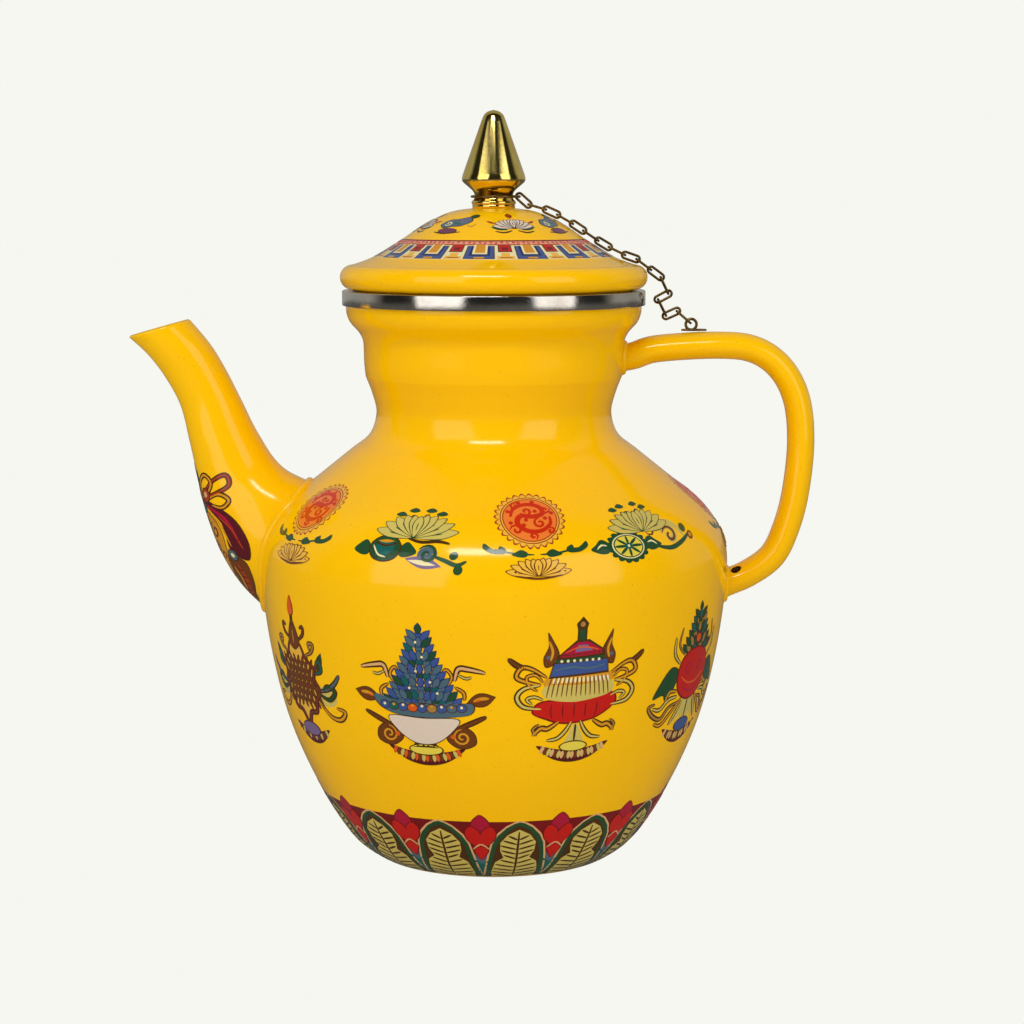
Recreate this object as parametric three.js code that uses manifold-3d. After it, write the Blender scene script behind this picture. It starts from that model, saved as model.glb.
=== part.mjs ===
// A tea kettle pressed from sheet steel under porcelain enamel: a belly with a drum neck, a spout,
// a hollow loop handle, and a domed lid that hangs on a chain. Millimetres, +Z up.
// The origin is the centre of the flat base. The handle is towards +X and the spout towards -X.
import * as THREE from 'three';
import { mergeVertices } from 'three/addons/utils/BufferGeometryUtils.js';
import Module from 'manifold-3d';

const wasm = await Module();
wasm.setup();

// Clearance between pieces that touch, and how far a cutting shape runs past what it cuts
const seatGap = 0.3;
const overrun = 6;

// Belly and neck
const footRadius = 41;
const bellyRadius = 82.6;
const bellyHeight = 100;
const waistRadius = 41.5;
const waistHeight = 157.5;
const drumRadius = 45.7;
const drumBottom = 172;
const drumTop = 183;
const rimRadius = 52;
const rimFlareHeight = 194;
const rimTop = 199.3;
const bodyWall = 1.3;

// Steel band pressed over the rim
const bandWall = 1;
const bandBottom = 195.4;
const bandLip = 2.4;

// Holes in the belly behind the spout
const strainerHoleRadius = 2;
const strainerPitch = 6.4;
const strainerHeight = 110;

// Spout: widths are taken between its outer and inner edge lines, seen from the side
const spoutWall = 1.3;
const spoutMouthHalfDepth = 10.8;
const spoutNeckHalfDepth = 9.8;
const spoutRootHalfDepth = 20;

// Handle
const handleHalfThickness = 4.8;
const handleHalfDepth = 7;
const handleWall = 1.2;
const handleReach = 108.7;
const handleTopHeight = 181.2;
const handleRootHeight = 96;
const ventHoleRadius = 2;

// Lid
const lidWall = 1.2;
const lidCrownHeight = 229.4;
const lidEdgeRadius = 54;
const lidEdgeHeight = 205.2;
const lidBeadRadius = 4.3;
const skirtWall = 1;
const skirtBottom = 193.5;

// Knob and what fastens it
const knobRadius = 11.2;
const knobTipRadius = 4.2;
const knobNeckRadius = 6.7;
const knobBaseRadius = 7.8;
const knobHeight = 32.6;
const knobWasherThickness = 0.6;
const screwRadius = 1.7;
const screwHeadRadius = 3.6;
const screwHeadHeight = 2.2;
const screwGrip = 9;
const screwWasherRadius = 6;

// Chain: every other link stands upright, the ones between lie flat
const linkLength = 7.4;
const linkWidth = 3.2;
const linkWire = 0.9;
const linkSlack = 0.3;
const linksOnLid = 10;
const ringWire = 1;
const ringClearance = 0.4;
const ringPlay = 1.4;
const chainLift = 1.95;
const eyeReach = 69.5;
const eyeRadius = 1.9;
const eyeWire = 0.5;
// Where the last link's wire lies in the eye, from the eye's centre
const eyePlay = [-0.2, 0.35];
const eyeFootLength = 9;
const eyeFootWidth = 3;
const eyeFootThickness = 0.8;
// Angles at which the links past the lid's edge hang at rest, in degrees from +X towards +Z
const hangAngles = [-36.7, -64.7, -151.7, -63, 22.6, -39.7];

// Fineness of the facets
const bodySegments = 40;
const bandSegments = 40;
const smallSegments = 20;

const enamelYellow = { color: 0xfabd06, roughness: 0.22, metalness: 0 };
const polishedSteel = { color: 0xc8c8c6, roughness: 0.2, metalness: 1 };
const gilt = { color: 0xe0c060, roughness: 0.25, metalness: 1 };
const darkBrass = { color: 0x9a7a3c, roughness: 0.4, metalness: 1 };
const zincSteel = { color: 0xa8aaac, roughness: 0.4, metalness: 1 };

const kettle = new THREE.Group();

function addPiece(name, geometry, look, parent = kettle) {
  const piece = new THREE.Mesh(geometry, new THREE.MeshStandardMaterial(look));
  piece.name = name;
  parent.add(piece);
  return piece;
}

// Closed solids and the two ways they are combined
function toSolid(geometry) {
  const bare = geometry.clone();
  bare.deleteAttribute('normal');
  bare.deleteAttribute('uv');
  const merged = mergeVertices(bare, 1e-4);
  const index = merged.index.array;
  const triangles = [];
  for (let i = 0; i < index.length; i += 3) {
    const [a, b, c] = [index[i], index[i + 1], index[i + 2]];
    if (a !== b && b !== c && c !== a) triangles.push(a, b, c);
  }
  const position = merged.attributes.position.array;
  if (signedVolume(position, triangles) < 0) triangles.reverse();
  return new wasm.Manifold(new wasm.Mesh({
    numProp: 3,
    vertProperties: Float32Array.from(position),
    triVerts: Uint32Array.from(triangles),
  }));
}

function signedVolume(position, triangles) {
  const corner = (i) => new THREE.Vector3().fromArray(position, 3 * triangles[i]);
  let total = 0;
  for (let i = 0; i < triangles.length; i += 3) {
    total += corner(i).dot(corner(i + 1).cross(corner(i + 2)));
  }
  return total / 6;
}

function toGeometry(solid) {
  const mesh = solid.getMesh();
  const geometry = new THREE.BufferGeometry();
  geometry.setAttribute('position', new THREE.BufferAttribute(mesh.vertProperties, 3));
  geometry.setIndex(new THREE.BufferAttribute(mesh.triVerts, 1));
  geometry.computeVertexNormals();
  return geometry;
}

// Revolves an outline of [radius, height] pairs about +Z. It ends on the axis or closes on itself.
function turned(outline, segments) {
  const points = outline.map(([radius, height]) => new THREE.Vector2(radius, height));
  const lathed = new THREE.LatheGeometry(points, segments).rotateX(Math.PI / 2);
  return toGeometry(toSolid(lathed));
}

function smoothOutline(points, count) {
  const curve = new THREE.SplineCurve(points.map(([r, z]) => new THREE.Vector2(r, z)));
  return curve.getPoints(count).map((point) => [point.x, point.y]);
}

// Moves an outline sideways by a distance: to its left hand is positive, going along it
function offsetOutline(outline, distance) {
  return outline.map(([radius, height], i) => {
    const [beforeR, beforeZ] = outline[Math.max(i - 1, 0)];
    const [afterR, afterZ] = outline[Math.min(i + 1, outline.length - 1)];
    const along = Math.hypot(afterR - beforeR, afterZ - beforeZ);
    const moveR = -(afterZ - beforeZ) / along * distance;
    const moveZ = (afterR - beforeR) / along * distance;
    return [Math.max(radius + moveR, 0), height + moveZ];
  });
}

// Skins a row of rings, each a list of Vector3, and closes both ends
function skinned(rings) {
  const sides = rings[0].length;
  const position = rings.flat().flatMap((point) => point.toArray());
  const triangles = [];
  for (let ring = 0; ring < rings.length - 1; ring += 1) {
    for (let side = 0; side < sides; side += 1) {
      const a = ring * sides + side;
      const b = ring * sides + (side + 1) % sides;
      triangles.push(a, b, b + sides, a, b + sides, a + sides);
    }
  }
  const last = (rings.length - 1) * sides;
  for (let side = 1; side < sides - 1; side += 1) {
    triangles.push(0, side + 1, side, last, last + side, last + side + 1);
  }
  const geometry = new THREE.BufferGeometry();
  geometry.setAttribute('position', new THREE.Float32BufferAttribute(position, 3));
  geometry.setIndex(triangles);
  return geometry;
}

// An ellipse in the plane of `across` and Y
function ovalRing(centre, across, halfAcross, halfDepth, sides) {
  return Array.from({ length: sides }, (_, side) => {
    const turn = 2 * Math.PI * side / sides;
    return centre.clone()
      .addScaledVector(across, halfAcross * Math.cos(turn))
      .add(new THREE.Vector3(0, halfDepth * Math.sin(turn), 0));
  });
}

const sideView = (x, z) => new THREE.Vector3(x, 0, z);

// Body: one outline from the centre of the base, up the flank and over the shoulder to the rim
const flankShare = (out, up) => [footRadius + (bellyRadius - footRadius) * out, bellyHeight * up];
const shoulderShare = (out, up) => [
  waistRadius + (bellyRadius - waistRadius) * out,
  bellyHeight + (waistHeight - bellyHeight) * up,
];
const outerOutline = [
  [0, 0],
  [footRadius - 3, 0],
  ...smoothOutline([
    flankShare(0.03, 0.003),
    flankShare(0.26, 0.08),
    flankShare(0.53, 0.26),
    flankShare(0.77, 0.49),
    flankShare(0.92, 0.74),
    [bellyRadius, bellyHeight],
    shoulderShare(0.97, 0.25),
    shoulderShare(0.78, 0.45),
    shoulderShare(0.49, 0.62),
    shoulderShare(0.23, 0.77),
    shoulderShare(0.06, 0.87),
    [waistRadius, waistHeight],
    [drumRadius - 2.8, drumBottom - 7.6],
    [drumRadius - 0.5, drumBottom - 1.5],
  ], 21),
  [drumRadius, drumBottom + 3],
  [drumRadius + 0.2, drumTop],
  [drumRadius + 1.5, drumTop + 2.8],
  [rimRadius - 1.2, rimFlareHeight - 4.4],
  [rimRadius, rimFlareHeight - 1],
  [rimRadius, rimTop],
];
const innerOutline = offsetOutline(outerOutline.slice(1), bodyWall);
innerOutline[innerOutline.length - 1][1] = rimTop;
const bodyOutline = [...outerOutline, ...innerOutline.reverse(), [0, bodyWall]];
const shell = toSolid(turned(bodyOutline, bodySegments));

// The filled body, one seat gap larger, that the spout and the handle are cut by
const clearOutline = [
  [0, -seatGap],
  ...offsetOutline(outerOutline.slice(1), -seatGap),
  [0, rimTop],
];
const bodyClearance = toSolid(turned(clearOutline, bodySegments));

// Strainer: a hexagon of round holes, drilled along -X where the spout covers them
const strainerDrill = new THREE.CylinderGeometry(strainerHoleRadius, strainerHoleRadius, 30, 8);
strainerDrill.rotateZ(Math.PI / 2);
let strained = shell;
for (let row = -2; row <= 2; row += 1) {
  const holes = 5 - Math.abs(row);
  for (let hole = 0; hole < holes; hole += 1) {
    const y = (hole - (holes - 1) / 2) * strainerPitch;
    const z = strainerHeight + row * strainerPitch * Math.sin(Math.PI / 3);
    strained = strained.subtract(toSolid(strainerDrill.clone().translate(-bellyRadius, y, z)));
  }
}
addPiece('body_shell', toGeometry(strained), enamelYellow);

// Rim band: a steel channel over the rolled rim, with a lip turned in at the top
const bandInner = rimRadius + seatGap;
const bandOuter = bandInner + bandWall;
const bandTop = rimTop + seatGap + bandWall;
addPiece('rim_band', turned([
  [bandInner, bandBottom],
  [bandOuter, bandBottom],
  [bandOuter, bandTop - 0.5],
  [bandOuter - 0.5, bandTop],
  [rimRadius - bandLip, bandTop],
  [rimRadius - bandLip, bandTop - bandWall],
  [bandInner, bandTop - bandWall],
  [bandInner, bandBottom],
], bandSegments), polishedSteel);

// Spout: edge points [x, z] of its outer and inner line from root to mouth, and half depths.
// The root runs into the belly, whose outside cuts it.
const spoutStations = [
  { outer: [-78, 84], inner: [-56, 86], halfDepth: spoutRootHalfDepth * 0.35 },
  { outer: [-89.4, 95.6], inner: [-52, 98], halfDepth: spoutRootHalfDepth * 0.8 },
  { outer: [-97, 108], inner: [-50, 112], halfDepth: spoutRootHalfDepth },
  { outer: [-102.3, 122.5], inner: [-58, 128], halfDepth: spoutRootHalfDepth * 0.88 },
  { outer: [-105.3, 135.5], inner: [-74.6, 137.5], halfDepth: spoutRootHalfDepth * 0.68 },
  { outer: [-107.8, 147.4], inner: [-83, 149], halfDepth: spoutNeckHalfDepth + 1.7 },
  { outer: [-110.8, 160], inner: [-89.4, 162], halfDepth: spoutNeckHalfDepth },
  { outer: [-116, 170], inner: [-94.6, 172.5], halfDepth: spoutNeckHalfDepth },
  { outer: [-122, 178], inner: [-100, 181.5], halfDepth: spoutMouthHalfDepth - 0.4 },
  { outer: [-128.4, 184], inner: [-107, 190], halfDepth: spoutMouthHalfDepth },
];

// A tube through the stations, made thinner all round by `inset`
function spoutTube(inset, sides) {
  const line = (edge) => new THREE.CatmullRomCurve3(
    spoutStations.map((station) => sideView(station[edge][0], station[edge][1])));
  const outerLine = line('outer');
  const innerLine = line('inner');
  const depthLine = new THREE.CatmullRomCurve3(
    spoutStations.map((station, i) => sideView(station.halfDepth, i)));
  const steps = 2 * (spoutStations.length - 1);
  const rings = [];
  for (let step = 0; step <= steps; step += 1) {
    const from = outerLine.getPoint(step / steps);
    const to = innerLine.getPoint(step / steps);
    const centre = from.clone().lerp(to, 0.5);
    const across = to.clone().sub(from).normalize();
    const halfAcross = from.distanceTo(to) / 2 - inset;
    rings.push(ovalRing(centre, across, halfAcross, depthLine.getPoint(step / steps).x - inset, sides));
  }
  if (inset > 0) {
    const outOfMouth = sideView(-1, 3).normalize().multiplyScalar(overrun);
    rings.push(rings.at(-1).map((point) => point.clone().add(outOfMouth)));
  }
  return toSolid(skinned(rings));
}
const spoutSides = 18;
const spout = spoutTube(0, spoutSides)
  .subtract(spoutTube(spoutWall, spoutSides))
  .subtract(bodyClearance);
addPiece('spout', toGeometry(spout), enamelYellow);

// Handle: a flattened tube bent along this centre line, from the neck out, down and in to the belly
const handleLine = new THREE.CatmullRomCurve3([
  sideView(drumRadius - 8, handleTopHeight - 5.6),
  sideView(drumRadius + 3, handleTopHeight - 3.8),
  sideView(drumRadius + 12, handleTopHeight - 1.2),
  sideView(handleReach - 30, handleTopHeight),
  sideView(handleReach - 17, handleTopHeight - 1.5),
  sideView(handleReach - 7.5, handleTopHeight - 8),
  sideView(handleReach - 1.7, handleTopHeight - 19),
  sideView(handleReach, handleTopHeight - 34),
  sideView(handleReach - 1.5, handleRootHeight + 34),
  sideView(handleReach - 4.6, handleRootHeight + 21),
  sideView(handleReach - 9.5, handleRootHeight + 10.5),
  sideView(handleReach - 18, handleRootHeight + 4),
  sideView(bellyRadius - 1, handleRootHeight),
  sideView(bellyRadius - 10, handleRootHeight - 4.5),
]);

function handleTube(inset, sides) {
  const steps = 26;
  const rings = [];
  for (let step = 0; step <= steps; step += 1) {
    const at = step / steps;
    const tangent = handleLine.getTangentAt(at);
    const across = sideView(tangent.z, -tangent.x);
    rings.push(ovalRing(handleLine.getPointAt(at), across,
      handleHalfThickness - inset, handleHalfDepth - inset, sides));
  }
  return toSolid(skinned(rings));
}
const ventHole = new THREE.CylinderGeometry(ventHoleRadius, ventHoleRadius, 2 * handleHalfThickness, 8);
ventHole.rotateX(Math.PI / 2);
ventHole.translate(bellyRadius + 4, 0, handleRootHeight + 2 + handleHalfThickness);
const handle = handleTube(0, 16)
  .subtract(handleTube(handleWall, 12))
  .subtract(bodyClearance)
  .subtract(toSolid(ventHole));
addPiece('handle', toGeometry(handle), enamelYellow);

// Height of the handle's upper surface at a reach from the axis, along its level top
function handleTopAt(reach) {
  let best = handleLine.getPointAt(0);
  for (let at = 0; at < 0.5; at += 0.002) {
    const point = handleLine.getPointAt(at);
    if (Math.abs(point.x - reach) < Math.abs(best.x - reach)) best = point;
  }
  return best.z + handleHalfThickness;
}

// Lid: a domed pressing whose edge is rolled into a bead that rests on the band
const lidRest = bandTop + seatGap;
const domeOuter = smoothOutline([
  [0, lidCrownHeight],
  [8, lidCrownHeight - 0.3],
  [16, lidCrownHeight - 1.8],
  [25, lidCrownHeight - 6.2],
  [34, lidCrownHeight - 12.2],
  [42.5, lidCrownHeight - 17.2],
  [lidEdgeRadius - lidBeadRadius, lidEdgeHeight + lidBeadRadius],
], 10);
const beadOutline = Array.from({ length: 4 }, (_, i) => {
  const turn = Math.PI / 2 - (i + 1) * Math.PI / 5;
  const centreR = lidEdgeRadius - lidBeadRadius;
  return [centreR + lidBeadRadius * Math.cos(turn), lidEdgeHeight + lidBeadRadius * Math.sin(turn)];
});
const screwHole = screwRadius + seatGap;
const lidTopLine = [...domeOuter.filter(([radius]) => radius > screwHole + 1), ...beadOutline];
const lidUnderLine = [
  [lidEdgeRadius - lidBeadRadius, lidRest],
  [lidEdgeRadius - lidBeadRadius - lidWall, lidRest],
  ...offsetOutline(domeOuter, -lidWall).filter(([radius]) => radius > screwHole + 1).reverse(),
];
addPiece('lid_shell', turned([
  [screwHole, lidCrownHeight],
  ...lidTopLine,
  ...lidUnderLine,
  [screwHole, lidCrownHeight - lidWall],
  [screwHole, lidCrownHeight],
], bandSegments), enamelYellow);

// Height of the dome's upper surface at a radius
function domeHeightAt(radius) {
  const next = domeOuter.findIndex(([r]) => r >= radius);
  const [r0, z0] = domeOuter[next - 1];
  const [r1, z1] = domeOuter[next];
  return z0 + (z1 - z0) * (radius - r0) / (r1 - r0);
}

// Skirt: a plain ring under the lid that drops inside the band
const skirtRadius = lidEdgeRadius - lidBeadRadius - lidWall - seatGap;
const skirtTop = domeHeightAt(skirtRadius) - lidWall - 2 * seatGap;
addPiece('lid_skirt', turned([
  [skirtRadius, skirtBottom],
  [skirtRadius, skirtTop],
  [skirtRadius - skirtWall, skirtTop],
  [skirtRadius - skirtWall, skirtBottom],
  [skirtRadius, skirtBottom],
], bandSegments), enamelYellow);

// Knob: a gilt bud on a washer, held by a screw from under the lid
const washerBottom = lidCrownHeight + seatGap;
const knobBottom = washerBottom + knobWasherThickness + seatGap;
const boreRadius = screwRadius + seatGap;
const boreDepth = screwGrip - 1;
const knobTip = knobBottom + knobHeight;
addPiece('knob', turned([
  [boreRadius, knobBottom + boreDepth],
  [boreRadius, knobBottom],
  [knobBaseRadius, knobBottom],
  [knobBaseRadius, knobBottom + 0.9],
  [knobNeckRadius, knobBottom + 1.8],
  [knobNeckRadius, knobBottom + 3.4],
  [knobNeckRadius + 0.6, knobBottom + 4.6],
  [knobRadius - 0.4, knobBottom + 7.6],
  [knobRadius, knobBottom + 8.4],
  [knobRadius - 0.2, knobBottom + 9.8],
  [knobTipRadius, knobTip - 3.6],
  [knobTipRadius * 0.82, knobTip - 1.7],
  [knobTipRadius * 0.48, knobTip - 0.5],
  [0, knobTip],
  [0, knobBottom + boreDepth],
  [boreRadius, knobBottom + boreDepth],
], smallSegments), gilt);

function washer(name, innerRadius, outerRadius, bottom, thickness, look) {
  addPiece(name, turned([
    [innerRadius, bottom],
    [outerRadius, bottom],
    [outerRadius, bottom + thickness],
    [innerRadius, bottom + thickness],
    [innerRadius, bottom],
  ], smallSegments), look);
}
washer('knob_washer', boreRadius, knobBaseRadius + 0.6, washerBottom, knobWasherThickness, gilt);
const underLid = lidCrownHeight - lidWall - seatGap;
const screwWasherThickness = 0.8;
washer('screw_washer', boreRadius, screwWasherRadius, underLid - screwWasherThickness,
  screwWasherThickness, zincSteel);
const headTop = underLid - screwWasherThickness - seatGap;
addPiece('knob_screw', turned([
  [0, headTop - screwHeadHeight],
  [screwHeadRadius * 0.6, headTop - screwHeadHeight],
  [screwHeadRadius, headTop - screwHeadHeight * 0.4],
  [screwHeadRadius, headTop],
  [screwRadius, headTop],
  [screwRadius, knobBottom + boreDepth - 1.2],
  [0, knobBottom + boreDepth - 1.2],
], 16), zincSteel);

// Chain ring, loose round the knob's neck, on its foot, and drawn towards the chain by its play
const ringRadius = knobNeckRadius + ringClearance + ringWire / 2 + ringPlay / 2;
const ringShift = ringPlay / 2;
const ringHeight = knobBottom + 1.8 + seatGap + ringWire / 2;
const ring = new THREE.TorusGeometry(ringRadius, ringWire / 2, 5, smallSegments);
addPiece('chain_ring', ring, darkBrass).position.set(ringShift, 0, ringHeight);

// Eye: a wire loop on a small foot, brazed to the top of the handle
const eyeFootBottom = Math.max(handleTopAt(eyeReach), handleTopAt(eyeReach - eyeFootLength / 2)) + seatGap;
const eyeHeight = eyeFootBottom + eyeWire + eyeRadius;
const eyeLoop = new THREE.TorusGeometry(eyeRadius, eyeWire, 6, 14).rotateX(Math.PI / 2);
eyeLoop.translate(eyeReach, 0, eyeHeight);
const eyeFoot = new THREE.BoxGeometry(eyeFootLength, eyeFootWidth, eyeFootThickness);
eyeFoot.translate(eyeReach + 1, 0, eyeFootBottom + eyeFootThickness / 2);
addPiece('chain_eye', toGeometry(toSolid(eyeLoop).add(toSolid(eyeFoot))), darkBrass);

// One link: a round wire bent to an oval with straight sides, long way along X, lying flat
function linkGeometry() {
  const bend = (linkWidth - linkWire) / 2;
  const straight = linkLength / 2 - linkWire / 2 - bend;
  const steps = 12;
  const rings = [];
  for (let step = 0; step < steps; step += 1) {
    const turn = 2 * Math.PI * (step + 0.5) / steps;
    const out = new THREE.Vector3(Math.cos(turn), Math.sin(turn), 0);
    const centre = out.clone().multiplyScalar(bend);
    centre.x += Math.sign(out.x) * straight;
    rings.push(Array.from({ length: 5 }, (_, side) => {
      const around = 2 * Math.PI * side / 5;
      return centre.clone()
        .addScaledVector(out, linkWire / 2 * Math.cos(around))
        .add(new THREE.Vector3(0, 0, linkWire / 2 * Math.sin(around)));
    }));
  }
  const position = rings.flat().flatMap((point) => point.toArray());
  const triangles = [];
  for (let ringIndex = 0; ringIndex < steps; ringIndex += 1) {
    for (let side = 0; side < 5; side += 1) {
      const a = ringIndex * 5 + side;
      const b = ringIndex * 5 + (side + 1) % 5;
      const c = ((ringIndex + 1) % steps) * 5 + side;
      const d = ((ringIndex + 1) % steps) * 5 + (side + 1) % 5;
      triangles.push(a, c, b, b, c, d);
    }
  }
  const geometry = new THREE.BufferGeometry();
  geometry.setAttribute('position', new THREE.Float32BufferAttribute(position, 3));
  geometry.setIndex(triangles);
  return toGeometry(toSolid(geometry));
}

// Each link turns about the wire of the flat link next to it, so those wires are the pivots:
// they stand a whole wire-to-wire length apart on a flat link and less on an upright one.
const flatSpan = linkLength - linkWire;
const uprightSpan = linkLength - 3 * linkWire - 2 * linkSlack;
const spanOf = (number) => (number % 2 === 1 ? uprightSpan : flatSpan);

// The line that the chain's middle follows over the lid: one link's lift above its surface
const overLid = offsetOutline([...domeOuter, ...beadOutline], chainLift);
function nextOnLid(from, span) {
  for (let i = 0; i < overLid.length - 1; i += 1) {
    for (let share = 0; share < 1; share += 0.01) {
      const x = overLid[i][0] + (overLid[i + 1][0] - overLid[i][0]) * share;
      const z = overLid[i][1] + (overLid[i + 1][1] - overLid[i][1]) * share;
      if (x > from.x && Math.hypot(x - from.x, z - from.z) >= span) return sideView(x, z);
    }
  }
  return sideView(from.x, from.z - span);
}

// Draws the hanging stretch to the eye: the links keep their spans while both ends are pulled home
function pulledTo(points, spans, end) {
  const start = points[0].clone();
  for (let round = 0; round < 60; round += 1) {
    points[points.length - 1].copy(end);
    for (let i = points.length - 2; i >= 0; i -= 1) {
      const away = points[i].clone().sub(points[i + 1]).setLength(spans[i]);
      points[i].copy(points[i + 1]).add(away);
    }
    points[0].copy(start);
    for (let i = 1; i < points.length; i += 1) {
      const away = points[i].clone().sub(points[i - 1]).setLength(spans[i - 1]);
      points[i].copy(points[i - 1]).add(away);
    }
  }
  return points;
}

const lidPivots = [sideView(ringShift + ringRadius, ringHeight)];
for (let number = 1; number <= linksOnLid; number += 1) {
  lidPivots.push(nextOnLid(lidPivots.at(-1), spanOf(number)));
}
const hangSpans = hangAngles.map((_, i) => spanOf(linksOnLid + 1 + i));
const hangStart = [lidPivots.at(-1).clone()];
hangAngles.forEach((angle, i) => {
  const turn = THREE.MathUtils.degToRad(angle);
  const step = sideView(Math.cos(turn), Math.sin(turn)).multiplyScalar(hangSpans[i]);
  hangStart.push(hangStart.at(-1).clone().add(step));
});
const hangPivots = pulledTo(hangStart, hangSpans,
  sideView(eyeReach + eyePlay[0], eyeHeight + eyePlay[1]));
const pivots = [...lidPivots, ...hangPivots.slice(1)];

const oneLink = linkGeometry();
for (let number = 1; number < pivots.length; number += 1) {
  const from = pivots[number - 1];
  const to = pivots[number];
  const name = `chain_link_${String(number).padStart(2, '0')}`;
  const link = addPiece(name, oneLink.clone(), darkBrass);
  const tilt = Math.atan2(to.z - from.z, to.x - from.x);
  link.position.copy(from).lerp(to, 0.5);
  link.rotation.set(number % 2 === 1 ? Math.PI / 2 : 0, -tilt, 0, 'YXZ');
}

export default kettle;
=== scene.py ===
import bisect
import math

import bmesh
import bpy
from mathutils import Matrix, Vector
from mathutils.geometry import delaunay_2d_cdt


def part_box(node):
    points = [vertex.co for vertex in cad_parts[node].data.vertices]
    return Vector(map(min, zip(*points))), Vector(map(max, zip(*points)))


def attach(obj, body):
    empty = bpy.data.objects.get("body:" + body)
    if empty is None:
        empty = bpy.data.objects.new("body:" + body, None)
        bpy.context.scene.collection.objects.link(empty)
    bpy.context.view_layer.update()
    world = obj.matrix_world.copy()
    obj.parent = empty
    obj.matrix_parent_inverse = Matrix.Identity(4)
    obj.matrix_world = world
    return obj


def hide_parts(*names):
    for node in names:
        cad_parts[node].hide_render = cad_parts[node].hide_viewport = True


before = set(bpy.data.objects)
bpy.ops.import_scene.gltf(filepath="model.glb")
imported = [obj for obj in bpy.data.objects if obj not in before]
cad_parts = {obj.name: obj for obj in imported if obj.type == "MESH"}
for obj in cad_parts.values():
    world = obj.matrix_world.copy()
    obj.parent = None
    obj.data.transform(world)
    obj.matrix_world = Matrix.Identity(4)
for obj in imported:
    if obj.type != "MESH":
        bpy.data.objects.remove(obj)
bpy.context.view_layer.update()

mm = 0.001
print("frame loaded", len(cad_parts), "nodes")


# shader expressions: operators on a wrapped socket add Math nodes

class Wire:
    def __init__(self, tree, socket):
        self.tree = tree
        self.socket = socket

    def math(self, operation, *others):
        return addNode(self.tree, "ShaderNodeMath", {"operation": operation}, [self, *others])

    def __add__(self, other): return self.math("ADD", other)
    def __sub__(self, other): return self.math("SUBTRACT", other)
    def __mul__(self, other): return self.math("MULTIPLY", other)


def addNode(tree, kind, settings, values, output=0):
    # settings first, because some of them change the sockets; values by place or by name
    node = tree.nodes.new(kind)
    for name, value in settings.items():
        if name == "stops":
            ramp = node.color_ramp
            while len(ramp.elements) < len(value):
                ramp.elements.new(0.5)
            for element, (place, colour) in zip(ramp.elements, value):
                element.position = place
                element.color = colour
        else:
            setattr(node, name, value)
    pairs = values.items() if isinstance(values, dict) else enumerate(values)
    for name, value in pairs:
        if isinstance(value, Wire):
            tree.links.new(value.socket, node.inputs[name])
        else:
            node.inputs[name].default_value = value
    return Wire(tree, node.outputs[output])


def rgb(red, green, blue):
    # a colour as seen on screen, 0 to 255, in the shader's linear numbers
    def linear(value):
        value = value / 255
        return value / 12.92 if value <= 0.04045 else ((value + 0.055) / 1.055) ** 2.4
    return (linear(red), linear(green), linear(blue), 1.0)


def newMaterial(name):
    material = bpy.data.materials.new(name)
    material.use_nodes = True
    tree = material.node_tree
    shader = tree.nodes["Principled BSDF"]
    place = addNode(tree, "ShaderNodeTexCoord", {}, {}, output="Object")
    return material, tree, shader, place


def feed(tree, shader, **values):
    names = {"baseColor": "Base Color", "roughness": "Roughness", "metallic": "Metallic",
             "coat": "Coat Weight", "normal": "Normal", "coatRoughness": "Coat Roughness", "ior": "IOR"}
    for name, value in values.items():
        socket = shader.inputs[names[name]]
        if isinstance(value, Wire):
            tree.links.new(value.socket, socket)
        else:
            socket.default_value = value


def noiseAt(tree, place, scale, detail):
    return addNode(tree, "ShaderNodeTexNoise", {}, {"Vector": place, "Scale": scale, "Detail": detail})


def mixColour(tree, factor, first, second):
    return addNode(tree, "ShaderNodeMix", {"data_type": "RGBA"}, {0: factor, 6: first, 7: second}, output=2)


def bump(tree, height, strength, distance):
    return addNode(tree, "ShaderNodeBump", {}, {"Strength": strength, "Distance": distance, "Height": height})


def rampOf(tree, value, stops):
    return addNode(tree, "ShaderNodeValToRGB", {"stops": stops}, {"Fac": value})


def grey(value):
    return (value, value, value, 1.0)


enamelLook = dict(yellow=(255, 196, 0), deep=(248, 184, 0), speckColour=(120, 70, 20), speckStrength=0.35,
                  drift=14, ripple=260, speck=1900, roughness=0.125, roughnessDrift=0.05,
                  coat=0.25, coatRoughness=0.06, ior=1.3)


def makeEnamel(name, colour, deep):
    # glass fired on steel: slow drifts of depth, a faint ripple, and rare dark specks
    look = enamelLook
    material, tree, shader, place = newMaterial(name)
    drift = noiseAt(tree, place, look["drift"], 3)
    ripple = noiseAt(tree, place, look["ripple"], 1)
    speckNoise = noiseAt(tree, place, look["speck"], 0)
    speck = rampOf(tree, speckNoise, [(0.0, grey(0)), (0.79, grey(0)), (0.83, grey(1))])
    base = mixColour(tree, drift, rgb(*deep), rgb(*colour))
    base = mixColour(tree, speck * look["speckStrength"], base, rgb(*look["speckColour"]))
    feed(tree, shader, baseColor=base, roughness=drift * look["roughnessDrift"] + look["roughness"],
         normal=bump(tree, ripple, 0.06, 0.0004),
         coat=look["coat"], coatRoughness=look["coatRoughness"], ior=look["ior"])
    return material


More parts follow.
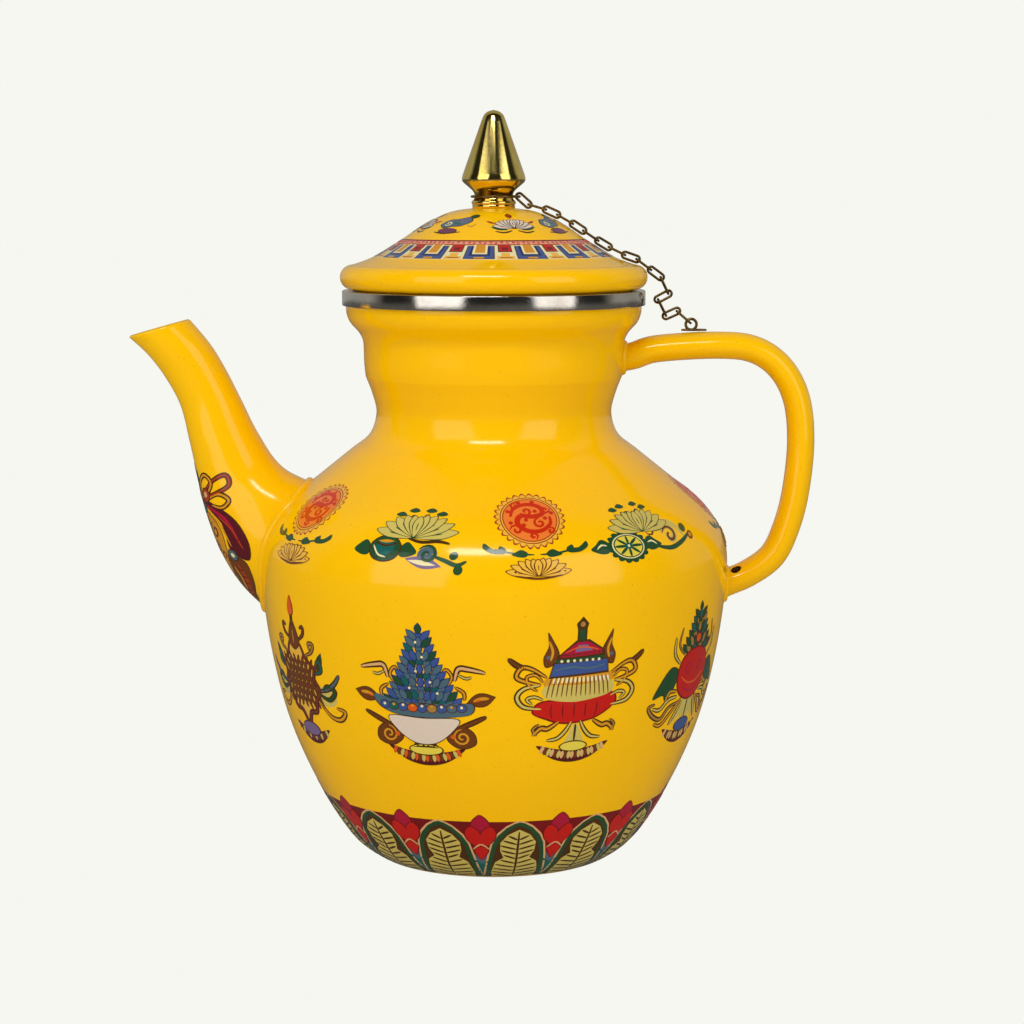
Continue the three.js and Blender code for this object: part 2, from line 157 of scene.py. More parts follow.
def makeMetal(name, colour, dark, roughness, grainScale):
    # polished metal with fine wiping marks and a little tarnish
    material, tree, shader, place = newMaterial(name)
    stretched = addNode(tree, "ShaderNodeMapping", {}, {"Vector": place, "Scale": (1, 1, 12)})
    grain = noiseAt(tree, stretched, grainScale, 3)
    tarnish = noiseAt(tree, place, 90, 4)
    base = mixColour(tree, rampOf(tree, tarnish, [(0.35, grey(0)), (0.75, grey(1))]),
                     rgb(*colour), rgb(*dark))
    feed(tree, shader, baseColor=base, metallic=1.0, roughness=grain * 0.12 + (roughness - 0.06),
         normal=bump(tree, grain, 0.05, 0.0002))
    return material


enamel = makeEnamel("enamelYellow", enamelLook["yellow"], enamelLook["deep"])
steel = makeMetal("stainlessBand", (222, 216, 206), (188, 178, 166), 0.11, 700)
gilt = makeMetal("giltKnob", (255, 232, 140), (228, 190, 84), 0.1, 500)
brass = makeMetal("agedBrass", (150, 122, 66), (84, 62, 30), 0.34, 900)
zinc = makeMetal("zincScrew", (170, 172, 174), (120, 122, 126), 0.4, 900)
# dark burnt steel: partly the bare steel's own colour, partly painted shade, for the plug in the vent hole
shadeAndBurntSteel = makeMetal("shadeAndBurntSteel", (70, 44, 26), (38, 24, 16), 0.5, 900)
print("materials made")


# outlines: the same curves as the solids, in millimetres, finer

def catmullRom(points, count):
    result = []
    last = len(points) - 1
    for step in range(count + 1):
        where = last * step / count
        at = min(int(where), last - 1)
        share = where - at
        p0, p1, p2, p3 = (points[max(0, min(last, at + k))] for k in (-1, 0, 1, 2))
        point = []
        for a, b, c, d in zip(p0, p1, p2, p3):
            v0, v1 = (c - a) / 2, (d - b) / 2
            point.append((2 * b - 2 * c + v0 + v1) * share ** 3
                         + (-3 * b + 3 * c - 2 * v0 - v1) * share ** 2 + v0 * share + b)
        result.append(tuple(point))
    return result


def offsetLine(line, distance):
    result = []
    for i, (r, z) in enumerate(line):
        r0, z0 = line[max(i - 1, 0)]
        r1, z1 = line[min(i + 1, len(line) - 1)]
        along = math.hypot(r1 - r0, z1 - z0) or 1
        result.append((max(r - (z1 - z0) / along * distance, 0), z + (r1 - r0) / along * distance))
    return result


def roundCorners(line, radius, steps=4):
    # replaces the inner corners of an open line by small arcs
    result = [line[0]]
    for before, corner, after in zip(line, line[1:], line[2:]):
        v1 = Vector(before) - Vector(corner)
        v2 = Vector(after) - Vector(corner)
        reach = min(radius, v1.length / 2, v2.length / 2)
        start = Vector(corner) + v1.normalized() * reach
        end = Vector(corner) + v2.normalized() * reach
        for step in range(steps + 1):
            t = step / steps
            point = start * (1 - t) ** 2 + Vector(corner) * 2 * t * (1 - t) + end * t ** 2
            result.append((point.x, point.y))
    result.append(line[-1])
    return result


def disc(x, y, radius, flatten=1.0, count=28):
    turns = [2 * math.pi * step / count for step in range(count)]
    return [(x + radius * math.cos(turn), y + radius * flatten * math.sin(turn)) for turn in turns]


def addPiece(name, data):
    piece = bpy.data.objects.new(name, data)
    bpy.context.scene.collection.objects.link(piece)
    return piece


def meshFrom(name, vertices, faces, material, smooth=True):
    # smooth pieces are closed at their seams and poles; painted plates are flat and have none
    mesh = bpy.data.meshes.new(name)
    mesh.from_pydata([Vector(v) * mm for v in vertices], [], faces)
    mesh.update()
    work = bmesh.new()
    work.from_mesh(mesh)
    if smooth:
        bmesh.ops.remove_doubles(work, verts=work.verts, dist=1e-7)
    bmesh.ops.recalc_face_normals(work, faces=work.faces)
    work.to_mesh(mesh)
    work.free()
    for polygon in mesh.polygons:
        polygon.use_smooth = smooth
    mesh.materials.append(material)
    return addPiece(name, mesh)


def freeze(piece):
    # the evaluated shape becomes the piece's plain mesh
    bpy.context.view_layer.update()
    result = bpy.data.meshes.new_from_object(piece.evaluated_get(bpy.context.evaluated_depsgraph_get()))
    piece.modifiers.clear()
    piece.data = result


def revolve(name, line, segments, material, closed=False):
    # the line ends on the axis, or closes on itself
    vertices = []
    faces = []
    rows = len(line)
    for r, z in line:
        for side in range(segments):
            turn = 2 * math.pi * side / segments
            vertices.append((r * math.cos(turn), r * math.sin(turn), z))
    for row in range(rows if closed else rows - 1):
        nextRow = (row + 1) % rows
        for side in range(segments):
            nextSide = (side + 1) % segments
            faces.append((row * segments + side, row * segments + nextSide,
                          nextRow * segments + nextSide, nextRow * segments + side))
    return meshFrom(name, vertices, faces, material)


def place(piece, body, slot, *nodes):
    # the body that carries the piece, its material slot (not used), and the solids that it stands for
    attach(piece, body)
    if nodes:
        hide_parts(*nodes)


body = dict(footRadius=41, bellyRadius=82.6, bellyHeight=100, waistRadius=41.5, waistHeight=157.5,
            drumRadius=45.7, drumBottom=172, drumTop=183, rimRadius=52, flareHeight=194, rimTop=199.3,
            wall=1.3, segments=256)


def flank(out, up):
    return (body["footRadius"] + (body["bellyRadius"] - body["footRadius"]) * out, body["bellyHeight"] * up)


def shoulder(out, up):
    return (body["waistRadius"] + (body["bellyRadius"] - body["waistRadius"]) * out,
            body["bellyHeight"] + (body["waistHeight"] - body["bellyHeight"]) * up)


bodyCurve = catmullRom([
    flank(0.03, 0.003), flank(0.26, 0.08), flank(0.53, 0.26), flank(0.77, 0.49), flank(0.92, 0.74),
    (body["bellyRadius"], body["bellyHeight"]),
    shoulder(0.97, 0.25), shoulder(0.78, 0.45), shoulder(0.49, 0.62), shoulder(0.23, 0.77),
    shoulder(0.06, 0.87), (body["waistRadius"], body["waistHeight"]),
    (body["drumRadius"] - 2.8, body["drumBottom"] - 7.6),
    (body["drumRadius"] - 0.5, body["drumBottom"] - 1.5),
], 120)
neckLine = roundCorners([
    bodyCurve[-1],
    (body["drumRadius"], body["drumBottom"] + 3),
    (body["drumRadius"] + 0.2, body["drumTop"]),
    (body["drumRadius"] + 1.5, body["drumTop"] + 2.8),
    (body["rimRadius"] - 1.2, body["flareHeight"] - 4.4),
    (body["rimRadius"], body["flareHeight"] - 1),
    (body["rimRadius"], body["rimTop"]),
], 1.6)
outerLine = [(0, 0), (body["footRadius"] - 3, 0)] + bodyCurve + neckLine[1:]

strainer = dict(radius=2, pitch=6.4, height=110, across=5, depth=30)


def makeBody():
    inner = offsetLine(outerLine[1:], body["wall"])
    inner[-1] = (inner[-1][0], body["rimTop"])
    shell = revolve("bodyShell", outerLine + inner[::-1] + [(0, body["wall"])], body["segments"], enamel)
    # the strainer behind the spout: a hexagon of holes
    holes = []
    pitch, across = strainer["pitch"], strainer["across"]
    for row in range(-(across // 2), across // 2 + 1):
        number = across - abs(row)
        for hole in range(number):
            y, z = (hole - (number - 1) / 2) * pitch, strainer["height"] + row * pitch * 0.866
            holes.append(((-body["bellyRadius"], y, z), (1, 0, 0), strainer["radius"], strainer["depth"]))
    cutBy(shell, drill("strainerDrill", holes, enamel))
    place(shell, "kettle", "enamel", "body_shell")


band = dict(gap=0.3, wall=1, bottom=195.4, lip=2.4, edge=0.45)


def makeBand():
    inner = body["rimRadius"] + band["gap"]
    outer = inner + band["wall"]
    top = body["rimTop"] + band["gap"] + band["wall"]
    lip = body["rimRadius"] - band["lip"]
    bottom, middle, under = band["bottom"], (band["bottom"] + top) / 2, top - band["wall"]
    corners = [(inner, middle), (inner, bottom), (outer, bottom), (outer, top), (lip, top),
               (lip, under), (inner, under), (inner, middle + 0.01)]
    piece = revolve("rimBand", roundCorners(corners, band["edge"]), 160, steel, closed=True)
    place(piece, "kettle", "steel", "rim_band")


def loft(name, rings, material, capEnds=False):
    sides = len(rings[0])
    vertices = [tuple(point) for ring in rings for point in ring]
    faces = []
    for ring in range(len(rings) - 1):
        for side in range(sides):
            a, b = ring * sides + side, ring * sides + (side + 1) % sides
            faces.append((a, b, b + sides, a + sides))
    if capEnds:
        faces.append(tuple(range(sides)))
        faces.append(tuple(range((len(rings) - 1) * sides, len(rings) * sides)))
    return meshFrom(name, vertices, faces, material)


def oval(centre, across, halfAcross, halfDepth, sides):
    ring = []
    for side in range(sides):
        turn = 2 * math.pi * side / sides
        ring.append(centre + across * (halfAcross * math.cos(turn))
                    + Vector((0, halfDepth * math.sin(turn), 0)))
    return ring


# outer edge x, z, inner edge x, z and half depth, from the root in the belly to the mouth
spout = dict(wall=1.3, neckDepth=9.8, mouthDepth=10.8, rootDepth=20, sides=72, steps=90)
spoutStations = [
    (-78, 84, -56, 86, spout["rootDepth"] * 0.35),
    (-89.4, 95.6, -52, 98, spout["rootDepth"] * 0.8),
    (-97, 108, -50, 112, spout["rootDepth"]),
    (-102.3, 122.5, -58, 128, spout["rootDepth"] * 0.88),
    (-105.3, 135.5, -74.6, 137.5, spout["rootDepth"] * 0.68),
    (-107.8, 147.4, -83, 149, spout["neckDepth"] + 1.7),
    (-110.8, 160, -89.4, 162, spout["neckDepth"]),
    (-116, 170, -94.6, 172.5, spout["neckDepth"]),
    (-122, 178, -100, 181.5, spout["mouthDepth"] - 0.4),
    (-128.4, 184, -107, 190, spout["mouthDepth"]),
]

weld = dict(gap=0.05, spoutBead=1.5, handleBead=1.3, sides=12)


def cutBy(piece, cutter):
    cut = piece.modifiers.new("cut", "BOOLEAN")
    cut.operation = "DIFFERENCE"
    cut.solver = "EXACT"
    cut.object = cutter
    freeze(piece)
    bpy.data.objects.remove(cutter)
    for polygon in piece.data.polygons:
        polygon.use_smooth = True


def cutByBelly(piece):
    # takes away what lies inside the belly
    line = [(0, -1)] + offsetLine(outerLine[1:], -weld["gap"]) + [(0, body["rimTop"])]
    cutBy(piece, revolve("bellyCutter", line, 160, enamel))


def drill(name, holes, material, sides=24):
    # round bars, each given by its middle, axis, radius and length
    vertices, faces = [], []
    for middle, axis, radius, length in holes:
        turn = Vector(axis).to_track_quat("Z", "Y").to_matrix()
        first = len(vertices)
        second = first + sides
        for end in (-0.5, 0.5):
            vertices += [Vector(middle) + turn @ Vector((x, y, end * length))
                         for x, y in disc(0, 0, radius, count=sides)]
        faces += [(first + k, first + (k + 1) % sides, second + (k + 1) % sides, second + k)
                  for k in range(sides)]
        faces += [tuple(range(first, second)), tuple(range(second, second + sides))]
    return meshFrom(name, vertices, faces, material)


def bellyRadiusAt(z):
    for (r0, z0), (r1, z1) in zip(outerLine[1:], outerLine[2:]):
        if z0 <= z <= z1 and z1 > z0:
            return r0 + (r1 - r0) * (z - z0) / (z1 - z0)
    return 0


def weldBead(name, rings, radius):
    # the enamel fillet where a tube leaves the body
    loop = []
    for side in range(len(rings[0])):
        before = rings[0][side]
        for ring in rings[1:]:
            point = ring[side]
            gap = math.hypot(point.x, point.y) - bellyRadiusAt(point.z)
            if gap > 0:
                last = bellyRadiusAt(before.z) - math.hypot(before.x, before.y)
                loop.append(before.lerp(point, last / (last + gap)))
                break
            before = point
    bead = []
    for i, point in enumerate(loop):
        along = (loop[(i + 1) % len(loop)] - loop[i - 1]).normalized()
        first = along.cross(Vector((1, 0, 0))).normalized()
        second = along.cross(first)
        bead.append([point + first * x + second * y for x, y in disc(0, 0, radius, count=weld["sides"])])
    place(loft(name, bead + bead[:1], enamel), "kettle", "enamel")


def spoutRings(inset):
    rings = []
    for x0, z0, x1, z1, depth in catmullRom(spoutStations, spout["steps"]):
        start, end = Vector((x0, 0, z0)), Vector((x1, 0, z1))
        across = (end - start).normalized()
        rings.append(oval((start + end) / 2, across, (end - start).length / 2 - inset, depth - inset,
                          spout["sides"]))
    return rings


def makeSpout():
    # the wall turns over at the mouth in a round lip
    outer = spoutRings(0)
    inner = spoutRings(spout["wall"])
    middle = spoutRings(spout["wall"] / 2)[-1]
    lip = [point + Vector((-1, 0, 3)).normalized() * spout["wall"] * 0.4 for point in middle]
    piece = loft("spoutShell", outer + [lip] + inner[::-1] + [outer[0]], enamel)
    cutByBelly(piece)
    weldBead("spoutBead", outer, weld["spoutBead"])
    place(piece, "kettle", "enamel", "spout")


makeBody()
print("body made")
makeBand()
print("band made")
makeSpout()
print("spout made")

handle = dict(halfThickness=4.8, halfDepth=7, reach=108.7, top=181.2, root=96, sides=40, steps=150)
drumRadius, bellyRadius = body["drumRadius"], body["bellyRadius"]
handlePoints = [
    (drumRadius - 8, handle["top"] - 5.6), (drumRadius + 3, handle["top"] - 3.8),
    (drumRadius + 12, handle["top"] - 1.2), (handle["reach"] - 30, handle["top"]),
    (handle["reach"] - 17, handle["top"] - 1.5), (handle["reach"] - 7.5, handle["top"] - 8),
    (handle["reach"] - 1.7, handle["top"] - 19), (handle["reach"], handle["top"] - 34),
    (handle["reach"] - 1.5, handle["root"] + 34), (handle["reach"] - 4.6, handle["root"] + 21),
    (handle["reach"] - 9.5, handle["root"] + 10.5), (handle["reach"] - 18, handle["root"] + 4),
    (bellyRadius - 1, handle["root"]), (bellyRadius - 10, handle["root"] - 4.5),
]

# a hole on the inner side of the handle's foot; behind it a dark plug of burnt steel, which also serves as
# painted shade for the dark inside of the hollow handle
vent = dict(radius=2, depth=6, sunk=0.5, plug=3, axis=(-0.36, -0.43, 0.83),
            middle=(bellyRadius + 3.2, -4, handle["root"] + 6.1))


def makeHandle():
    line = catmullRom(handlePoints, handle["steps"])
    rings = []
    for i, (x, z) in enumerate(line):
        x0, z0 = line[max(i - 1, 0)]
        x1, z1 = line[min(i + 1, len(line) - 1)]
        across = Vector((z1 - z0, 0, -(x1 - x0))).normalized()
        rings.append(oval(Vector((x, 0, z)), across, handle["halfThickness"], handle["halfDepth"],
                          handle["sides"]))
    piece = loft("handleTube", rings, enamel, capEnds=True)
    cutByBelly(piece)
    mouth, axis = Vector(vent["middle"]), Vector(vent["axis"]).normalized()
    cutBy(piece, drill("ventDrill", [(mouth, axis, vent["radius"], vent["depth"])], enamel))
    # painted shade: a dark plug set just below the hole's mouth stands for the shade inside the hollow handle
    inside = (mouth - axis * (vent["sunk"] + vent["plug"] / 2), axis, vent["radius"] + 0.1, vent["plug"])
    place(drill("ventShadePlug", [inside], shadeAndBurntSteel), "kettle", "enamel")
    weldBead("handleTopBead", rings, weld["handleBead"])
    weldBead("handleFootBead", rings[::-1], weld["handleBead"])
    place(piece, "kettle", "enamel", "handle")


makeHandle()
print("handle made")

lid = dict(wall=1.2, crown=229.4, edgeRadius=54, edgeHeight=205.2, bead=4.3, skirtRadius=48.2, skirtWall=1,
           hole=2)
domeLine = catmullRom([
    (0, lid["crown"]), (8, lid["crown"] - 0.3), (16, lid["crown"] - 1.8), (25, lid["crown"] - 6.2),
    (34, lid["crown"] - 12.2), (42.5, lid["crown"] - 17.2),
    (lid["edgeRadius"] - lid["bead"], lid["edgeHeight"] + lid["bead"]),
], 60)


def makeLid():
    centre = lid["edgeRadius"] - lid["bead"]
    bead = []
    for step in range(1, 22):
        turn = math.pi / 2 - math.pi * step / 22
        bead.append((centre + lid["bead"] * math.cos(turn), lid["edgeHeight"] + lid["bead"] * math.sin(turn)))
    rest = body["rimTop"] + band["gap"] + band["wall"] + 0.3
    top = [point for point in domeLine if point[0] > lid["hole"] + 0.5]
    under = [point for point in offsetLine(domeLine, -lid["wall"]) if point[0] > lid["hole"] + 0.5]
    line = ([(lid["hole"], lid["crown"])] + top + bead + [(centre, rest), (centre - lid["wall"], rest)]
            + under[::-1] + [(lid["hole"], lid["crown"] - lid["wall"])])
    piece = revolve("lidShell", line, 224, enamel, closed=True)
    place(piece, "lid", "enamel", "lid_shell")
    outer, inner = lid["skirtRadius"], lid["skirtRadius"] - lid["skirtWall"]
    bottom, top = (end.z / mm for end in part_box("lid_skirt"))
    middle = (bottom + top) / 2
    corners = [(outer, middle), (outer, top), (inner, top), (inner, bottom), (outer, bottom),
               (outer, middle - 0.01)]
    skirt = revolve("lidSkirt", roundCorners(corners, 0.4), 160, enamel, closed=True)
    place(skirt, "lid", "enamel", "lid_skirt")


makeLid()
print("lid made")

knob = dict(radius=11.2, tip=4.2, neck=6.7, base=7.8, height=32.6, bottom=230.6)


def makeKnob():
    bottom, radius, neck, tip = knob["bottom"], knob["radius"], knob["neck"], knob["tip"]
    top = bottom + knob["height"]
    line = roundCorners([
        (0, bottom), (knob["base"], bottom), (knob["base"], bottom + 0.9),
        (neck, bottom + 1.8), (neck, bottom + 3.4), (neck + 0.6, bottom + 4.6),
        (radius - 0.4, bottom + 7.6), (radius, bottom + 8.4), (radius - 0.2, bottom + 9.8),
        (tip, top - 3.6), (tip * 0.82, top - 1.7), (tip * 0.48, top - 0.5), (0, top),
    ], 0.7)
    piece = revolve("knobBud", line, 96, gilt)
    place(piece, "lid", "gilt", "knob")


makeKnob()


def makeWasher():
    # dished to the lid, under the whole foot of the knob
    outer = knob["base"] - 0.3
    under = [(r, z + 0.02) for r, z in domeLine if 3 < r < outer]
    top = knob["bottom"] - 0.02
    line = [(3, under[0][1])] + under + [(outer, under[-1][1] - 0.1), (outer, top), (3, top)]
    place(revolve("knobWasher", line, 96, gilt, closed=True), "lid", "gilt", "knob_washer")


makeWasher()
for name, material in [("knob_screw", zinc), ("screw_washer", zinc)]:
    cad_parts[name].data.materials.clear()
    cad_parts[name].data.materials.append(material)
print("knob made")

# paints of the ornament: each colour and its deeper tone
paintColours = dict(red=((204, 32, 24), (176, 20, 16)),
                    crimson=((184, 26, 60), (150, 16, 44)),
                    darkRed=((128, 26, 24), (100, 16, 18)),
                    maroon=((98, 28, 36), (74, 18, 26)),
                    brown=((122, 66, 26), (94, 46, 16)),
                    umber=((84, 52, 20), (62, 36, 12)),
                    orange=((226, 100, 30), (196, 72, 18)),
                    tangerine=((238, 132, 52), (226, 108, 36)),
                    vermilion=((212, 52, 20), (186, 36, 12)),
                    brick=((176, 66, 30), (148, 46, 20)),
                    blush=((226, 178, 128), (206, 150, 96)),
                    pink=((236, 170, 140), (220, 140, 110)),
                    cream=((240, 228, 180), (224, 206, 150)),
                    porcelain=((226, 208, 192), (208, 186, 168)),
                    straw=((214, 196, 108), (188, 162, 70)),
                    wheat=((240, 188, 72), (224, 164, 48)),
                    lemon=((232, 214, 90), (214, 186, 50)),
                    amber=((222, 158, 40), (196, 124, 20)),
                    tan=((176, 132, 70), (150, 104, 46)),
                    darkGreen=((44, 84, 50), (28, 62, 36)),
                    teal=((30, 104, 96), (18, 80, 76)),
                    blue=((70, 92, 152), (48, 68, 124)),
                    navy=((36, 52, 104), (24, 36, 80)),
                    lilac=((132, 108, 148), (104, 82, 124)),
                    plum=((122, 62, 92), (96, 44, 72)),
                    slate=((86, 112, 126), (62, 86, 100)))
paints = {name: makeEnamel(name + "Paint", *tones) for name, tones in paintColours.items()}
print("paints mixed")

# painted ornament: flat shapes in millimetres, x to the right and y up from the middle of a motif,
# each with its colour, its layer, its points and, where it is a stroke, its width


def smoothLoop(points, steps=5):
    curve = catmullRom([points[-1]] + points + points[:2], (len(points) + 2) * steps)
    return curve[steps:(len(points) + 1) * steps]


def fill(colour, layer, outline):
    return (colour, layer, outline, None)


def fillLoop(colour, layer, points):
    return fill(colour, layer, smoothLoop(points))


def stroke(colour, layer, points, width):
    return (colour, layer, points, width)


def scallops(x, y, radius, depth, number):
    result = []
    for step in range(number * 5):
        turn = 2 * math.pi * step / (number * 5)
        reach = radius + depth * abs(math.sin(number * turn / 2))
        result.append((x + reach * math.cos(turn), y + reach * math.sin(turn)))
    return result


def leaf(x0, y0, x1, y1, width):
    # pointed at both ends
    length = math.hypot(x1 - x0, y1 - y0)
    result = []
    for side, steps in ((1, range(0, 9)), (-1, range(7, 0, -1))):
        for step in steps:
            share = step / 8
            bulge = side * width / 2 * math.sin(math.pi * share)
            result.append((x0 + (x1 - x0) * share - (y1 - y0) / length * bulge,
                           y0 + (y1 - y0) * share + (x1 - x0) / length * bulge))
    return result


def spiral(x, y, radius, turns, start, handed=1):
    count = int(turns * 10)
    result = []
    for step in range(count + 1):
        turn = math.radians(start) + handed * 2 * math.pi * turns * step / count
        reach = radius * (1 - 0.85 * step / count)
        result.append((x + reach * math.cos(turn), y + reach * math.sin(turn)))
    return result


def mirrored(shapes):
    return shapes + [(colour, layer, [(-x, y) for x, y in points], width)
                     for colour, layer, points, width in shapes]


def moved(shapes, right=0.0, up=0.0, turn=0.0):
    c, s = math.cos(math.radians(turn)), math.sin(math.radians(turn))
    return [(colour, layer, [(right + x * c - y * s, up + x * s + y * c) for x, y in points], width)
            for colour, layer, points, width in shapes]


def outlined(colour, layer, outline, margin=0.4, rise=1.0, edge="umber"):
    # a filled shape on a slightly larger one in the edge colour
    middle = Vector((sum(p[0] for p in outline), sum(p[1] for p in outline))) / len(outline)
    larger = []
    for x, y in outline:
        away = Vector((x, y)) - middle
        larger.append(tuple(Vector((x, y)) + away.normalized() * margin))
    return [fill(edge, layer, larger), fill(colour, layer + rise, outline)]


def outlinedLoop(colour, layer, points, *margins, **edge):
    return outlined(colour, layer, smoothLoop(points), *margins, **edge)


def ribbons(layer, *bands):
    # dark-edged bands, each given by its colour, its points and its width
    shapes = []
    for core, points, width in bands:
        shapes += [stroke("umber", layer, points, width * 1.08),
                   stroke(core, layer + 1, points, width * 0.45)]
    return shapes


def foliage(bottom, top, half, colours, edge="umber"):
    # outlined leaves in rows that narrow upwards, the outer ones leaning out
    shapes = []
    rows = int((top - bottom) / 2.3)
    for row in range(rows):
        y = bottom + row * 2.3
        reach = half * (1 - row / rows) ** 1.6 + 0.9
        number = round(reach / 2.1) if row < rows - 1 else 0
        for k in range(-number, number + 1):
            x, lean = reach * k / max(number, 1), 2.6 * k / max(number, 1)
            shapes += outlined(colours[(row * 5 + k * 3) % len(colours)],
                               2 + 2 * (row % 2) + k % 2,
                               leaf(x - lean * 0.4, y - 1.1, x + lean, y + 2.5, 2.1), 0.28, 0.5, edge=edge)
    return shapes


def withTaper(width, share):
    return width / 2 * (0.3 + 0.7 * math.sin(math.pi * share) ** 0.5)


def flatMesh(points, width, spacing=1.9):
    # a line becomes a ribbon, an outline is filled with triangles small enough to bend
    if width is not None:
        length = sum(math.dist(a, b) for a, b in zip(points, points[1:]))
        count = max(4, int(length / 0.9))
        curve = catmullRom(points, count)
        vertices = []
        for step, (x, y) in enumerate(curve):
            x0, y0 = curve[max(step - 1, 0)]
            x1, y1 = curve[min(step + 1, count)]
            along = math.hypot(x1 - x0, y1 - y0) or 1
            half = withTaper(width, step / count)
            vertices.append((x - (y1 - y0) / along * half, y + (x1 - x0) / along * half))
            vertices.append((x + (y1 - y0) / along * half, y - (x1 - x0) / along * half))
        return vertices, [(2 * i, 2 * i + 1, 2 * i + 3, 2 * i + 2) for i in range(count)]
    edge = []
    for (x0, y0), (x1, y1) in zip(points, points[1:] + points[:1]):
        parts = max(1, math.ceil(math.hypot(x1 - x0, y1 - y0) / spacing))
        edge += [(x0 + (x1 - x0) * k / parts, y0 + (y1 - y0) * k / parts) for k in range(parts)]
    inner = []
    lowX, highX = min(p[0] for p in edge), max(p[0] for p in edge)
    lowY, highY = min(p[1] for p in edge), max(p[1] for p in edge)
    for column in range(1, int((highX - lowX) / spacing) + 1):
        for row in range(1, int((highY - lowY) / spacing) + 1):
            inner.append((lowX + column * spacing, lowY + row * spacing))
    area = sum(x0 * y1 - x1 * y0 for (x0, y0), (x1, y1) in zip(edge, edge[1:] + edge[:1]))
    ring = list(range(len(edge)))
    if area < 0:
        ring.reverse()
    found = delaunay_2d_cdt([Vector(p) for p in edge + inner], [], [ring], 1, 1e-5)
    used = sorted({i for face in found[2] for i in face})
    number = {old: new for new, old in enumerate(used)}
    return [tuple(found[0][i]) for i in used], [tuple(number[i] for i in face) for face in found[2]]


# how far each layer stands above the last, and how far all go into the enamel
plates = dict(layerStep=0.028, sunk=0.06)


def paint(name, shapes, at, carrier, count=1, step=0):
    # one thin closed plate per shape, one object per colour, repeated round the axis
    parts = {}
    for colour, layer, points, width in shapes:
        flat, faces = flatMesh(points, width)
        vertices, allFaces = parts.setdefault(colour, ([], []))
        first = len(vertices)
        lift = plates["layerStep"] * (layer + 1)
        vertices += [at(x, y, lift) for x, y in flat]
        vertices += [at(x, y, -plates["sunk"]) for x, y in flat]
        under = first + len(flat)
        edges = {}
        for face in faces:
            allFaces.append(tuple(first + i for i in face))
            allFaces.append(tuple(under + i for i in reversed(face)))
            for a, b in zip(face, face[1:] + face[:1]):
                edges[(a, b)] = edges.get((a, b), 0) + 1
        for a, b in edges:
            if (b, a) not in edges:
                allFaces.append((first + a, under + a, under + b, first + b))
    for colour, (vertices, faces) in parts.items():
        piece = meshFrom(name + colour[0].upper() + colour[1:], vertices, faces, paints[colour], smooth=False)
        if count > 1:
            bake(piece, repeatTree, {"Count": count, "Turn": math.radians(step), "Material": paints[colour]})
        place(piece, carrier, "enamel")


def arcTable(line):
    arcs = [0.0]
    for a, b in zip(line, line[1:]):
        arcs.append(arcs[-1] + math.dist(a, b))
    return line, arcs


bodyTable = arcTable([(body["footRadius"], 0)] + bodyCurve)
domeTable = arcTable(domeLine[::-1])


def onTurned(table, angle, arc, fan=False):
    # angle in degrees from the front towards the handle, arc in millimetres up the surface from its lower end
    line, arcs = table

    def pointAt(where):
        i = min(max(bisect.bisect(arcs, where) - 1, 0), len(line) - 2)
        share = (where - arcs[i]) / (arcs[i + 1] - arcs[i])
        (r0, z0), (r1, z1) = line[i], line[i + 1]
        along = math.hypot(r1 - r0, z1 - z0)
        return r0 + (r1 - r0) * share, z0 + (z1 - z0) * share, (z1 - z0) / along, -(r1 - r0) / along

    reference = pointAt(arc)[0]

    def at(x, y, lift):
        r, z, outR, outZ = pointAt(arc + y)
        turn = math.radians(angle) + x / (reference if fan else r)
        reach = r + outR * lift
        return (reach * math.sin(turn), -reach * math.cos(turn), z + outZ * lift)
    return at


def newTree(name, **inputs):
    # takes a mesh and the named inputs, and gives a mesh
    tree = bpy.data.node_groups.new(name, "GeometryNodeTree")
    for socketName, kind in {"Geometry": "Geometry", **inputs}.items():
        tree.interface.new_socket(name=socketName, in_out="INPUT", socket_type="NodeSocket" + kind)
    tree.interface.new_socket(name="Geometry", in_out="OUTPUT", socket_type="NodeSocketGeometry")
    source = tree.nodes.new("NodeGroupInput")
    return tree, {socket.name: Wire(tree, socket) for socket in source.outputs if socket.name}


def endWithCopies(tree, points, piece, rotation, material):
    copies = addNode(tree, "GeometryNodeInstanceOnPoints", {},
                     {"Points": points, "Instance": piece, "Rotation": rotation})
    solid = addNode(tree, "GeometryNodeRealizeInstances", {}, {"Geometry": copies})
    final = addNode(tree, "GeometryNodeSetMaterial", {}, {"Geometry": solid, "Material": material})
    target = tree.nodes.new("NodeGroupOutput")
    tree.links.new(final.socket, target.inputs[0])
    return tree


def makeRepeatTree():
    # copies of a piece about the upright axis
    tree, given = newTree("repeatAboutAxis", Count="Int", Turn="Float", Material="Material")
    points = addNode(tree, "GeometryNodePoints", {}, {"Count": given["Count"]})
    index = addNode(tree, "GeometryNodeInputIndex", {}, {})
    rotation = addNode(tree, "FunctionNodeAxisAngleToRotation", {},
                       {"Axis": (0, 0, 1), "Angle": index * given["Turn"]})
    return endWithCopies(tree, points, given["Geometry"], rotation, given["Material"])


def bake(piece, tree, values):
    modifier = piece.modifiers.new("nodes", "NODES")
    modifier.node_group = tree
    for item in tree.interface.items_tree:
        if item.item_type == "SOCKET" and item.in_out == "INPUT" and item.name in values:
            modifier[item.identifier] = values[item.name]
    freeze(piece)


repeatTree = makeRepeatTree()

# border of the foot: fern leaves under arches, with red buds between
footBorder = dict(count=14, angle=8.5, arc=16, half=12.2)


